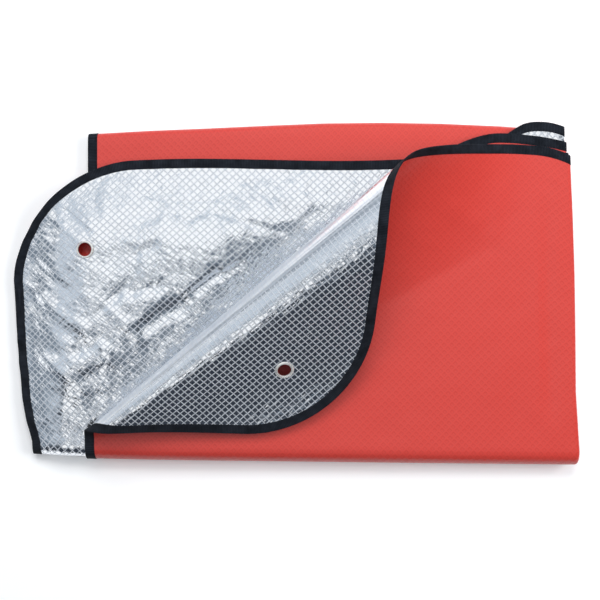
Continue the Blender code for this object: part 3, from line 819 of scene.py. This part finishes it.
    def surface(self, flat: Array) -> Array:
        """Carries flat points to the middle of the folded sheet.

        Args:
            flat: one row of u and v for each point.

        Returns:
            One row of x, y and z for each point.
        """
        u, v = flat.T
        half = 0.5 * self.solid_thickness
        u_marks, v_marks = self.marks
        outer, inner, _ = np.array(self.leaf_turns) * self.pitch
        wide, narrow, _ = np.array(self.bundle_turns) * self.pitch
        down = np.interp(v, v_marks, (0, 1, 1, 2, 2, 3, 3, 4))
        edge_4, left, right = (through(self.side_rows, down, column) for column in (1, 2, 3))
        left, right = left + inner + half, right - outer - half
        edge_1 = np.full_like(u, self.leaf_1_edge)
        x, lift, _, _ = self.zigzag(
            u, u_marks, ((edge_1, right), (right, left), (left, right), (right, edge_4)),
            self.leaf_levels, tuple(zip(self.leaf_turns, (1, -1, 1), (1, -1, -1))))
        front = through(self.front_fold, x / MM) + wide + outer + half
        back = through(self.back_fold, x / MM) - narrow - outer - half
        edge_a, edge_d = (self.by_leaf(u, rows, x)
                          for rows in (self.back_edges_a, self.back_edges_d))
        y, z, along, climb = self.zigzag(
            v, v_marks, ((edge_a, front), (front, back), (back, front), (front, edge_d)),
            self.bundle_levels, tuple(zip(self.bundle_turns, (-1, 1, -1), (1, -1, -1))))
        y = y + lift * climb
        sink = ease((self.sink_start - x) / self.sink_width)
        sink = sink * through(self.sink_shares, y / MM, 1, 1.0)
        z = half + (z - lift * along) * (1.0 - sink)
        open_leaf = (v < v_marks[1]) & (u > u_marks[-2])
        z = z + np.where(open_leaf, self.dome.lift(x, y, self.peel), 0.0)
        places = np.stack([x, y, z], axis=1)
        top = (v < v_marks[1]) & (u < u_marks[1])
        places[top] += self.peel.shift(x[top], y[top], front[top])
        return places + np.array(self.shift)

    def directions(self, flat: Array) -> tuple[Array, Array, Array]:
        """Directions of the folded sheet at flat points.

        Args:
            flat: one row of u and v for each point.

        Returns:
            Unit tangents along u and v, and the unit normal on the coloured side.
        """
        along_u, along_v = (self.surface(flat + step) - self.surface(flat - step)
                            for step in self.difference * np.eye(2))
        return unit(along_u), unit(along_v), unit(np.cross(along_v, along_u))

    def eyelet_centres(self) -> dict[str, Pair]:
        """Flat places of the four eyelets.

        Returns:
            For the node that each eyelet stands for, its u and v.
        """
        length, width = self.size
        near_u, far_u = self.eyelets_from_ends[0], length - self.eyelets_from_ends[1]
        near_v, far_v = self.eyelets_from_sides
        return {"eyelet_peeled_corner": (near_u, near_v), "eyelet_open_leaf": (far_u, far_v),
                "eyelet_inner_left": (near_u, width - near_v),
                "eyelet_inner_right": (far_u, width - far_v)}

    def eyelet_frame(self, centre: Pair) -> tuple[Array, Array, Array, Array]:
        """Where an eyelet lies once folded.

        Args:
            centre: its flat place.

        Returns:
            Its middle, two axes across it, and its axis on the coloured side.
        """
        spot = np.array([centre])
        along_u, _, normal = (vectors[0] for vectors in self.directions(spot))
        return self.surface(spot)[0], along_u, np.cross(along_u, normal), normal

    def flat_to_plane(self, centre: Pair) -> Array:
        """How flat shifts about an eyelet become shifts across the folded eyelet.

        Args:
            centre: its flat place.

        Returns:
            A matrix of two rows and two columns.
        """
        _, across_1, across_2, _ = self.eyelet_frame(centre)
        moved = centre + self.difference * np.array([(-1, 0), (1, 0), (0, -1), (0, 1)])
        places = self.surface(moved)
        stretch = np.stack([places[1] - places[0], places[3] - places[2]])
        return stretch / (2.0 * self.difference) @ np.stack([across_1, across_2]).T

    def well_inside(self, points: Array, inset: float, reach: float) -> Array:
        """Which flat points lie well inside the sheet and clear of each eyelet.

        Args:
            points: one row of u and v for each point.
            inset: how far they have to lie inside the rounded edge.
            reach: how far they have to lie from an eyelet's middle, once folded.

        Returns:
            True or false for each point.
        """
        half = np.array(self.size) / 2.0
        offset = np.abs(points - half) - (half - self.corner_radius)
        depth = self.corner_radius - np.hypot(*np.maximum(offset, 0.0).T)
        kept = np.minimum(depth, (half - np.abs(points - half)).min(axis=1)) >= inset
        for centre in self.eyelet_centres().values():
            kept &= np.hypot(*((points - centre) @ self.flat_to_plane(centre)).T) > reach
        return kept


def fitted_plan() -> FoldPlan:
    """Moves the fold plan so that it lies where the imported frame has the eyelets.

    Returns:
        The fitted plan.
    """
    plan = FoldPlan()
    shifts = np.array([np.mean([np.array(corner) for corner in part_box(node)], axis=0)
                       - plan.eyelet_frame(centre)[0]
                       for node, centre in plan.eyelet_centres().items()])
    LOG.info("fold plan fitted to the frame, spread %.3f mm", np.ptp(shifts, axis=0).max() / MM)
    return FoldPlan(shift=tuple(np.mean(shifts, axis=0)))


# --- creases ---


@dataclass(frozen=True)
class Relief:
    """Creases and crinkles of the two leaves that show, on top of the folded surface."""

    plan: FoldPlan
    # soft straight creases: two ends, half-width and height (mm), first of the open leaf in the
    # folded blanket's own x and y, then of the top leaf in its flat x and y before it is peeled
    open_creases: tuple = (
        (-52, 119, -38, 104, 3, -1.1), (-36, 108, -14, 84, 3.5, -1.2),
        (-30, 118, -6, 88, 3.5, 0.9), (-118, 72, -86, 88, 5, -1.2),
        (-90, 88, -32, 66, 4, -1.3), (-50, 72, -8, 62, 4, -1),
        (-110, -2, -80, 20, 3.5, -1.4), (-84, 14, -50, 34, 4, -1.3),
        (-192, -18, -176, 2, 3, -1.2), (-180, 0, -124, 10, 6, -1.6),
        (-172, -44, -100, -2, 9, -2.6), (-110, -6, -70, 26, 7, -1.8),
        (-236, -68, -190, -40, 8, -2.2), (-236, -100, -196, -76, 9, -2),
        (-246, 92, -208, 56, 3, -1.5), (-256, 84, -214, 44, 3.5, 1.1),
        (-236, 100, -202, 70, 3, 0.9), (-208, -26, -164, 20, 4, -1.4),
        (-172, 34, -138, 54, 4, -1), (-284, 40, -226, -6, 5, -1.5),
        (-288, 14, -232, -30, 5, 1.4), (-286, -14, -226, -62, 6, 1.5),
        (-280, -52, -206, -110, 6, 1.6), (-240, -20, -180, -72, 6, 1.4),
        (-200, -8, -150, -56, 7, 1.8),
    )
    top_creases: tuple = (
        (212, 128, 206, 40, 9, 0.5), (262, 128, 280, 118, 3, 0.5), (150, 96, 196, 66, 12, 0.5),
        (262, 112, 258, -60, 7, -0.7), (258, -20, 262, -140, 8, -0.7),
        (247, 60, 251, -120, 4, 0.3),
    )
    # random creasing: length, height (mm), seed, and softness of its folds; 0 leaves it round
    open_crinkles: tuple = ((46, 1.1, 11, 0), (21, 0.55, 12, 0.01), (11, 0.25, 13, 0))
    top_crinkles: tuple = ((70, 0.35, 21, 0), (28, 0.12, 22, 0))
    # share of a crease's length over which each end fades out
    end_share: float = 0.25
    edge_ease: float = 22.0 * MM
    # where the creases of the open leaf end, under the top leaf, and over what width they fade
    open_end: float = 100.0 * MM
    open_fade: float = 60.0 * MM

    def rise(self, creases: Rows, crinkles: Rows, x: Array, y: Array) -> Array:
        """Sums the creases and crinkles of one leaf.

        Args:
            creases: its creases.
            crinkles: its crinkles.
            x: places along the leaf.
            y: places across the leaf.

        Returns:
            One height for each place.
        """
        x, y = x / MM, y / MM
        total = np.zeros_like(x)
        for x0, y0, x1, y1, half_width, height in creases:
            run = math.hypot(x1 - x0, y1 - y0)
            east, north = (x1 - x0) / run, (y1 - y0) / run
            along = ((x - x0) * east + (y - y0) * north) / run
            across = (x - x0) * north - (y - y0) * east
            taper = ease(along / self.end_share) * ease((1.0 - along) / self.end_share)
            total += height * taper * np.exp(-(across / half_width) ** 2)
        for length, height, seed, softness in crinkles:
            waves = lattice_noise(x / length, y / length, seed)
            total += height * (1.0 - 2.0 * np.sqrt(waves**2 + softness) if softness else waves)
        return total * MM

    def surface(self, flat: Array) -> tuple[Array, Array]:
        """Creased middle surface of the folded sheet.

        Args:
            flat: one row of u and v for each point.

        Returns:
            One place and one unit normal for each point.
        """
        u, v = flat.T
        u_marks, v_marks = self.plan.marks
        places, normal = self.plan.surface(flat), self.plan.directions(flat)[2]
        from_front = ease((v_marks[1] - v) / self.edge_ease)
        offset = np.zeros_like(u)
        here = (v < v_marks[1]) & (u > u_marks[-2])
        x, y, _ = places[here].T
        shown = ease((self.open_end - x) / self.open_fade) * from_front[here]
        offset[here] = -self.rise(self.open_creases, self.open_crinkles, x, y) * shown
        here = (v < v_marks[1]) & (u < u_marks[1])
        x = u[here] + self.plan.leaf_1_edge
        y = self.plan.back_edges_a[0][1] * MM - v[here]
        shown = ease((u_marks[1] - u[here]) / self.edge_ease) * from_front[here]
        offset[here] = self.rise(self.top_creases, self.top_crinkles, x, y) * shown
        return places + offset[:, None] * normal, normal


# --- meshes ---


def add_piece(name: str, places: Array, faces: Sequence, materials: Sequence,
              flat: Array | None = None, crease: float = 40.0) -> Object:
    """Makes an object of a mesh, shaded smooth, with its flat coordinates as a UV map.

    Args:
        name: the piece's name.
        places: the vertices.
        faces: the faces, as vertex numbers.
        materials: its materials.
        flat: flat coordinates, one row for each corner of each face in order.
        crease: faces that meet at more degrees than this keep a sharp edge.

    Returns:
        The new object.
    """
    mesh = bpy.data.meshes.new(name)
    mesh.from_pydata(places.tolist(), [], faces)
    if flat is not None:
        layer = mesh.uv_layers.new(name=FLAT_MAP)
        layer.data.foreach_set("uv", np.ascontiguousarray(flat, dtype=np.float32).ravel())
    mesh.shade_smooth()
    mesh.set_sharp_from_angle(angle=math.radians(crease))
    for material in materials:
        mesh.materials.append(material)
    made = bpy.data.objects.new(name, mesh)
    bpy.context.scene.collection.objects.link(made)
    return made


def ring_faces(rows: int, columns: int) -> list[tuple[int, ...]]:
    """Faces between closed rows of points, with the last row joined to the first.

    Args:
        rows: number of rows.
        columns: points in a row.

    Returns:
        Four point numbers for each face.
    """
    faces = []
    for near in range(0, rows * columns, columns):
        far = (near + columns) % (rows * columns)
        faces += [(near + i, near + j, far + j, far + i)
                  for i, j in zip(range(columns), [*range(1, columns), 0])]
    return faces


@dataclass
class Laminate:
    """The blanket's one sheet: red film outside, metallised film inside."""

    plan: FoldPlan
    relief: Relief
    thickness: float = 0.5 * MM
    inset: float = 1.2 * MM
    hole_radius: float = 8.6 * MM
    hole_steps: int = 48
    # the open leaf is finest as far as this from its end
    open_reach: float = 410.0 * MM
    # distances between mesh points, where the sheet shows, at its edge and where it is hidden
    shown: float = 4.2 * MM
    edge_step: float = 5.0 * MM
    hidden: float = 60.0 * MM
    # how far fine points reach at the strips that show beside the two large leaves
    under_roll: float = 50.0 * MM
    back_strips: Pair = (160.0 * MM, 90.0 * MM)
    side_strip: float = 80.0 * MM
    leaf_steps: tuple[int, int, int] = (10, 6, 6)
    bundle_steps: tuple[int, int, int] = (12, 8, 8)
    # shares of a step: what coarse and fine points keep from the turns' lines, what they keep
    # from the far end of an area, and the distance between rows of even triangles
    clear_share: float = 0.3
    fine_clear_share: float = 0.35
    end_share: float = 0.25
    row_share: float = 0.866
    # distances that points keep from the edge and from an eyelet's hole
    edge_clearance: float = 1.5 * MM
    hole_clearance: float = 1.2 * MM
    merge_distance: float = 0.01 * MM
    outside: RedPolyethylene = RedPolyethylene()
    inside: MetallisedPolyethylene = MetallisedPolyethylene()

    @property
    def turn_lines(self) -> tuple[Array, Array]:
        """Lines of constant u and of constant v, at the ends of each turn and inside it.

        Returns:
            Places along u, and places along v.
        """
        return tuple(
            np.concatenate([np.linspace(start, end, count + 1)
                            for start, end, count in zip(marks[1::2], marks[2::2], steps)])
            for marks, steps in zip(self.plan.marks, (self.leaf_steps, self.bundle_steps)))

    def edge_spots(self, step: float) -> Array:
        """Stops round the sheet's edge, anticlockwise in (u, v).

        Args:
            step: distance between them.

        Returns:
            For each stop, the flat point one corner radius inside, and the way out from it.
        """
        radius = self.plan.corner_radius
        far = np.array(self.plan.size) - radius
        stops = []
        for turns, end in zip(self.turn_lines, far):
            even = np.linspace(radius, end, int((end - radius) / step) + 1)
            clear = nearest(even, turns) > self.clear_share * step
            clear[[0, -1]] = True
            stops.append(np.sort(np.concatenate([even[clear], turns])))
        arc = np.linspace(0.0, 0.5 * math.pi, int(0.5 * math.pi * radius / step) + 1)[1:-1]
        rounds = ((radius, radius), (far[0], radius), tuple(far), (radius, far[1]))
        spots = []
        for side, way in enumerate(((0, -1), (1, 0), (0, 1), (-1, 0))):
            run = stops[side % 2][::1 if side < 2 else -1]
            straight = np.tile((*rounds[side], *way), (len(run), 1))
            straight[:, side % 2] = run
            angles = 0.5 * math.pi * (side - 1) + arc
            centres = np.tile(rounds[(side + 1) % 4], (len(arc), 1))
            spots += [straight, np.column_stack([centres, np.cos(angles), np.sin(angles)])]
        return np.vstack(spots)

    def edge_points(self, inset: float, spots: Array) -> Array:
        """Flat points on the rounded edge at these stops, moved in by inset."""
        return spots[:, :2] + (self.plan.corner_radius - inset) * spots[:, 2:]

    def shown_areas(self) -> list[tuple[float, ...]]:
        """Flat areas with fine points.

        Returns:
            For each area lowest and highest u, lowest and highest v, and step.
        """
        u, v = self.plan.marks
        length, width = self.plan.size
        fine, fair, open_start = self.shown, 1.5 * self.shown, length - self.open_reach
        reach, depth = self.back_strips
        return [
            (0.0, u[1], 0.0, v[1], fine),
            (u[6], open_start, 0.0, v[1], 3.0 * fine),
            (open_start, length, 0.0, v[1], 0.72 * fine),
            (0.0, u[1], v[4], v[4] + self.under_roll, 2.5 * fine),
            (u[2], u[2] + reach, width - depth, width, fair),
            (u[5] - reach, u[5], width - depth, width, fair),
            (length - self.side_strip, length, v[1], v[2], fair),
        ]

    def filling_points(self) -> Array:
        """Flat points inside the sheet: coarse where it is hidden, fine where it shows.

        Returns:
            One row of u and v for each point.
        """
        lines = []
        for turns, marks in zip(self.turn_lines, self.plan.marks):
            rows = [turns]
            for start, end in zip(marks[0::2], marks[1::2]):
                count = max(2, int(round((end - start) / self.hidden)) + 1)
                inner = np.linspace(start, end, count)[1:-1]
                rows.append(inner[nearest(inner, turns) > self.clear_share * self.hidden])
            lines.append(np.sort(np.concatenate(rows)))
        points = grid(*lines)
        coarse = np.ones(len(points), dtype=bool)
        fine = []
        for u0, u1, v0, v1, step in self.shown_areas():
            coarse &= ~((points > (u0, v0)) & (points < (u1, v1))).all(axis=1)
            columns = np.linspace(u0, u1, int((u1 - u0) / step) + 1)
            rows = np.linspace(v0, v1, int((v1 - v0) / (self.row_share * step)) + 1)
            within = grid(columns[1:-1], rows[1:-1]).reshape(len(rows) - 2, -1, 2)
            # every other row is moved half a step, so that the triangles are even
            within[::2, :, 0] += 0.5 * (columns[1] - columns[0])
            within = np.minimum(within, (u1 - self.end_share * step, v1)).reshape(-1, 2)
            for axis, turns in enumerate(self.turn_lines):
                within = within[nearest(within[:, axis], turns) > self.fine_clear_share * step]
            u_turns, v_turns = (turns[(turns >= low) & (turns <= high)] for turns, low, high
                                in zip(self.turn_lines, (u0, v0), (u1, v1)))
            fine += [within, grid(rows, u_turns)[:, ::-1], grid(columns, v_turns)]
        points = np.vstack([points[coarse], *fine])
        return points[self.plan.well_inside(points, self.inset + self.edge_clearance,
                                            self.hole_radius + self.hole_clearance)]

    def flat_mesh(self) -> tuple[Array, Array]:
        """Triangles of the flat sheet, with the eyelets' holes left out.

        Returns:
            Flat points, and three point numbers for each triangle.
        """
        angles = np.arange(self.hole_steps) * 2.0 * math.pi / self.hole_steps
        circle = self.hole_radius * np.column_stack([np.cos(angles), np.sin(angles)])
        loops = [self.edge_points(self.inset, self.edge_spots(self.edge_step))]
        loops += [centre + circle @ np.linalg.inv(self.plan.flat_to_plane(centre))
                  for centre in self.plan.eyelet_centres().values()]
        points: list = []
        edges: list = []
        for loop in loops:
            start = len(points)
            edges += [(start + i, start + (i + 1) % len(loop)) for i in range(len(loop))]
            points += map(tuple, loop)
        length, width = self.plan.size
        u_turns, v_turns = self.turn_lines
        for ends in [*(((u, self.inset), (u, width - self.inset)) for u in u_turns),
                     *(((self.inset, v), (length - self.inset, v)) for v in v_turns)]:
            edges.append((len(points), len(points) + 1))
            points += ends
        points += map(tuple, self.filling_points())
        found = delaunay_2d_cdt(points, edges, [], 0, self.merge_distance)
        places, faces = np.array([tuple(point) for point in found[0]]), np.array(found[2])
        hole = self.hole_radius * math.cos(math.pi / self.hole_steps)
        kept = self.plan.well_inside(places[faces].mean(axis=1), self.inset, hole)
        return places, faces[kept]

    def build(self) -> Object:
        """Makes the sheet as one closed mesh with its two finishes.

        Returns:
            The sheet.
        """
        flat, triangles = self.flat_mesh()
        middle, normal = self.relief.surface(flat)
        half, count = 0.5 * self.thickness * normal, len(flat)
        sides: dict[tuple[int, int], bool] = {}
        for a, b, c in triangles.tolist():
            for start, end in ((a, b), (b, c), (c, a)):
                if not sides.pop((end, start), False):
                    sides[(start, end)] = True
        faces = triangles[:, ::-1].tolist() + (triangles + count).tolist()
        faces += [(end, count + end, count + start, start) for start, end in sides]
        numbers = np.concatenate(faces) % count
        made = add_piece("laminate_sheet", np.vstack([middle + half, middle - half]), faces,
                         (self.outside.build(), self.inside.build()), flat[numbers])
        index = np.zeros(len(faces), dtype=np.int32)
        index[len(triangles):2 * len(triangles)] = 1
        made.data.polygons.foreach_set("material_index", index)
        return made


@dataclass
class EdgeBinding:
    """Woven tape folded over the sheet's whole edge, and the stitches that hold it."""

    relief: Relief
    sheet: Laminate
    width: float = 10.0 * MM
    tape: float = 0.42 * MM
    gap: float = 0.02 * MM
    # the section's rounding: way in from the cut side and down from the face (mm), and round
    # the turned side the way in from it (mm) and the share of the height
    cut_side: tuple = ((0.05, 0.1), (0.5, 0.0))
    turned_side: tuple = ((1.0, 1.0), (0.35, 0.82), (0.05, 0.4))
    # how far the lining reaches out past the sheet
    lining: float = 0.5 * MM
    step: float = 4.0 * MM
    stitch_inset: float = 8.4 * MM
    stitch_pitch: float = 3.4 * MM
    stitch_length: float = 2.6 * MM
    seam_step: float = 0.8 * MM
    thread: float = 0.34 * MM
    # share of the stitch's length, share of the thread's thickness, height over the tape (mm)
    stitch_shape: tuple = ((0.0, 0.35, -0.16), (0.25, 1.0, 0.04), (0.75, 1.0, 0.04),
                           (1.0, 0.35, -0.16))
    finish: WovenPolyesterTape = WovenPolyesterTape()
    thread_finish: SpunPolyesterThread = SpunPolyesterThread()

    @property
    def heights(self) -> Pair:
        """Heights of the tape's two faces over the middle of the sheet."""
        inner = 0.5 * self.sheet.thickness + self.gap
        return inner, inner + self.tape

    def section(self) -> Array:
        """The folded tape's section.

        Returns:
            Distance from the sheet's edge, and height, of each point round it.
        """
        inner, outer = self.heights
        width, lining = self.width, self.sheet.inset - self.lining
        upper = [(width, inner),
                 *((width - way * MM, outer - drop * MM) for way, drop in self.cut_side),
                 (0.5 * width, outer),
                 *((inset * MM, share * outer) for inset, share in self.turned_side)]
        lower = [(inset, -height) for inset, height in reversed(upper)]
        return np.array([*upper, *lower, (lining, -inner), (lining, inner)])

    def build(self) -> Object:
        """Makes the tape as one closed ring.

        Returns:
            The tape.
        """
        spots, section = self.sheet.edge_spots(self.step), self.section()
        count, size = len(spots), len(section)
        rails = []
        for inset, height in section:
            middle, normal = self.relief.surface(self.sheet.edge_points(inset, spots))
            rails.append(middle + height * normal)
        reach = along_loop(self.sheet.edge_points(0.0, spots))
        girth = along_loop(section)
        rail, stop = np.divmod(np.arange(size * count), count)
        flat = [np.column_stack([reach[stop + i], girth[rail + j]])
                for i, j in ((0, 0), (1, 0), (1, 1), (0, 1))]
        return add_piece("binding_tape", np.vstack(rails), ring_faces(size, count),
                         [self.finish.build()], np.stack(flat, axis=1), crease=60.0)

    def stitches(self) -> Object:
        """Makes the two rows of stitches, one on each face of the tape.

        Returns:
            The stitches, as one piece.
        """
        seam = self.sheet.edge_points(self.stitch_inset, self.sheet.edge_spots(self.seam_step))
        reach = along_loop(seam)
        seam = np.vstack([seam, seam[:1]])
        number = int(reach[-1] / self.stitch_pitch)
        starts = np.arange(number) * reach[-1] / number
        shares, sizes, dips = np.array(self.stitch_shape).T
        at = (starts[:, None] + shares * self.stitch_length).ravel() % reach[-1]
        flat = np.column_stack([np.interp(at, reach, line) for line in seam.T])
        middle, normal = (part.reshape(number, len(shares), 3)
                          for part in self.relief.surface(flat))
        side = np.cross(normal, unit(np.gradient(middle, axis=1)))
        radii = (0.5 * self.thread * sizes)[None, :, None]
        heights = (self.heights[1] + dips * MM)[None, :, None]
        places = [middle + face * heights * normal + radii * (across * side + up * normal)
                  for face in (1, -1) for across, up in ((1, 0), (0, 1), (-1, 0), (0, -1))]
        places = np.stack(places, axis=2).reshape(number, len(shares), 2, 4, 3)
        last = 4 * (len(shares) - 1)
        pattern = np.array([*ring_faces(len(shares), 4)[:last], (3, 2, 1, 0),
                            (last, last + 1, last + 2, last + 3)])
        faces = pattern + (last + 4) * np.arange(2 * number)[:, None, None]
        return add_piece("binding_stitches",
                         places.transpose(0, 2, 1, 3, 4).reshape(-1, 3),
                         faces.reshape(-1, 4).tolist(), [self.thread_finish.build()],
                         crease=60.0)


@dataclass
class Eyelet:
    """Stamped eyelet: a barrel rolled over on one face, with its washer on the other."""

    plan: FoldPlan
    node: str
    steps: int = 72
    # radius and height (mm): the flange on the metallised side, from the barrel outwards, and
    # back over the washer and the rolled lip on the coloured side
    section: tuple = (
        (6.95, 0.0), (6.95, -0.55), (7.05, -0.95), (7.35, -1.25), (7.8, -1.36), (8.35, -1.28),
        (9.0, -0.98), (9.5, -0.62), (9.75, -0.34), (9.7, -0.27), (9.7, 0.27), (9.75, 0.38),
        (9.3, 0.55), (8.6, 0.6), (8.3, 0.72), (8.0, 0.98), (7.55, 1.08), (7.15, 0.92),
        (6.97, 0.55))

    def build(self, material: Material) -> Object:
        """Makes the eyelet as one turned piece about the sheet's normal.

        Args:
            material: its metal.

        Returns:
            The eyelet.
        """
        centre = self.plan.eyelet_centres()[self.node]
        middle, across_1, across_2, normal = self.plan.eyelet_frame(centre)
        angles = np.arange(self.steps)[:, None] * 2.0 * math.pi / self.steps
        outward = np.cos(angles) * across_1 + np.sin(angles) * across_2
        places = np.vstack([middle + radius * MM * outward + height * MM * normal
                            for radius, height in self.section])
        return add_piece(self.node + "_ring", places, ring_faces(len(self.section), self.steps),
                         [material], crease=70.0)


# --- studio ---


class Softbox(Enum):
    """The studio's lamps: place, width and depth, and power in watts."""

    KEY = ((-0.1, 1.25, 1.6), 1.1, 0.9, 24.0)
    SIDE = ((1.45, 0.25, 1.3), 1.0, 0.9, 22.0)


@dataclass(frozen=True)
class Tent:
    """White cloth tent round the table, lit brightest overhead and dim in front."""

    overhead: str = "#FDFEFF"
    # colours of the walls low and high up, and the heights of a direction where they are so
    behind: tuple[str, str] = ("#6C7885", "#C0CAD5")
    behind_heights: Pair = (0.2, 0.75)
    front: tuple[str, str] = ("#29303B", "#6B7682")
    front_heights: Pair = (0.71, 0.94)
    # direction that counts as behind, and where the front ends and the back begins along it
    back_way: Triple = (-0.5, 0.87, 0.0)
    back_edges: Pair = (-0.12, 0.28)
    # the bright roof, a panel and a window: the way to each, and the degrees from there where
    # its glow is full and where it ends
    glows: tuple = (((0.0, 0.27, 0.963), 14.0, 31.0), ((-0.24, -0.44, 0.865), 8.5, 15.5),
                    ((-0.87, 0.28, 0.406), 6.0, 17.5))

    def build(self) -> World:
        """Makes the tent as the scene's world.

        Returns:
            The world.
        """
        nodes = Nodes(bpy.data.worlds.new("tent"))
        add = nodes.add
        place = add("TexCoord").outputs["Generated"]

        def grade(way: Triple, low: Any, high: Any, edges: Pair,
                  spot: bool = False) -> NodeSocket:
            """Grades from one colour to another over the directions.

            Args:
                way: the direction to measure from.
                low: the colour away from it.
                high: the colour towards it.
                edges: where the grading starts and ends, as cosines, or for a spot as angles.
                spot: whether it is a spot round that direction.

            Returns:
                The graded colour.
            """
            ends = (1.0, 0.0) if spot else (0.0, 1.0)
            measure = add("VectorMath", place, way, operation="DOT_PRODUCT").outputs["Value"]
            if spot:
                measure = add("ARCCOSINE", measure)
            share = add("MapRange", measure, *edges, *ends, **SMOOTH)
            return add("Mix", share, i6=low, i7=high, data_type="RGBA").outputs[2]

        behind, front = (grade((0.0, 0.0, 1.0), *colors, heights) for colors, heights in (
            (self.behind, self.behind_heights), (self.front, self.front_heights)))
        light = grade(self.back_way, front, behind, self.back_edges)
        for way, full, none in self.glows:
            edges = (math.radians(full), math.radians(none))
            light = grade(way, light, self.overhead, edges, spot=True)
        nodes.feed(nodes.tree.nodes["Background"].inputs[0], light)
        return nodes.owner


@dataclass
class Studio:
    """Pale floor, cloth tent, soft lamps, and the camera straight above."""

    floor_size: float = 6.0
    floor_drop: float = 0.3 * MM
    camera_place: Triple = (5.5 * MM, -7.4 * MM, 1.10)
    camera_angle: float = math.radians(32.6)
    tent: Tent = Tent()
    board: OpalBoard = OpalBoard()

    def floor(self) -> None:
        """Makes the floor."""
        square = np.array([(-1, -1, 0), (1, -1, 0), (1, 1, 0), (-1, 1, 0)])
        places = 0.5 * self.floor_size * square - (0.0, 0.0, self.floor_drop)
        add_piece("studio_floor", places, [(0, 1, 2, 3)], [self.board.build()])

    def lamps(self) -> None:
        """Adds the soft lamps, which aim at the middle of the floor."""
        for softbox in Softbox:
            lamp = bpy.data.lights.new(softbox.name.lower(), "AREA")
            lamp.shape = "RECTANGLE"
            made = bpy.data.objects.new(softbox.name.lower(), lamp)
            made.location, lamp.size, lamp.size_y, lamp.energy = softbox.value
            made.visible_glossy = False
            made.rotation_euler = made.location.to_track_quat("Z", "Y").to_euler()
            bpy.context.scene.collection.objects.link(made)

    def camera(self) -> None:
        """Adds the camera, which looks straight down."""
        data = bpy.data.cameras.new("camera")
        data.sensor_fit = "HORIZONTAL"
        data.angle = self.camera_angle
        made = bpy.data.objects.new("camera", data)
        made.location = self.camera_place
        bpy.context.scene.collection.objects.link(made)
        bpy.context.scene.camera = made

    def build(self) -> None:
        """Sets up the whole studio."""
        self.camera()
        self.floor()
        self.lamps()
        bpy.context.scene.world = self.tent.build()
        bpy.context.scene.view_settings.view_transform = "Standard"


# --- main ---


def join(piece: Object, node: str | None = None) -> Object:
    """Rides a piece on the blanket's one body, and logs it.

    Args:
        piece: the piece.
        node: the solid that it stands for, if any.

    Returns:
        The piece.
    """
    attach(piece, "root")
    if node:
        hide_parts(node)
    LOG.info("%s: %d faces", piece.name, len(piece.data.polygons))
    return piece


def main() -> None:
    """Builds the blanket and the studio round it."""
    logging.basicConfig(level=logging.INFO, format="%(name)s %(message)s")
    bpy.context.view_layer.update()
    Studio().build()
    plan = fitted_plan()
    relief = Relief(plan)
    laminate = Laminate(plan, relief)
    binding = EdgeBinding(relief, laminate)
    sheet = join(laminate.build(), "foil_sheet")
    others = [join(binding.build(), "edge_binding"),
              join(binding.stitches())]
    nickel = NickelPlatedBrass().build()
    others += [join(Eyelet(plan, node).build(nickel), node)
               for node in plan.eyelet_centres()]
    length, width = plan.size


if __name__ == "__main__":
    main()
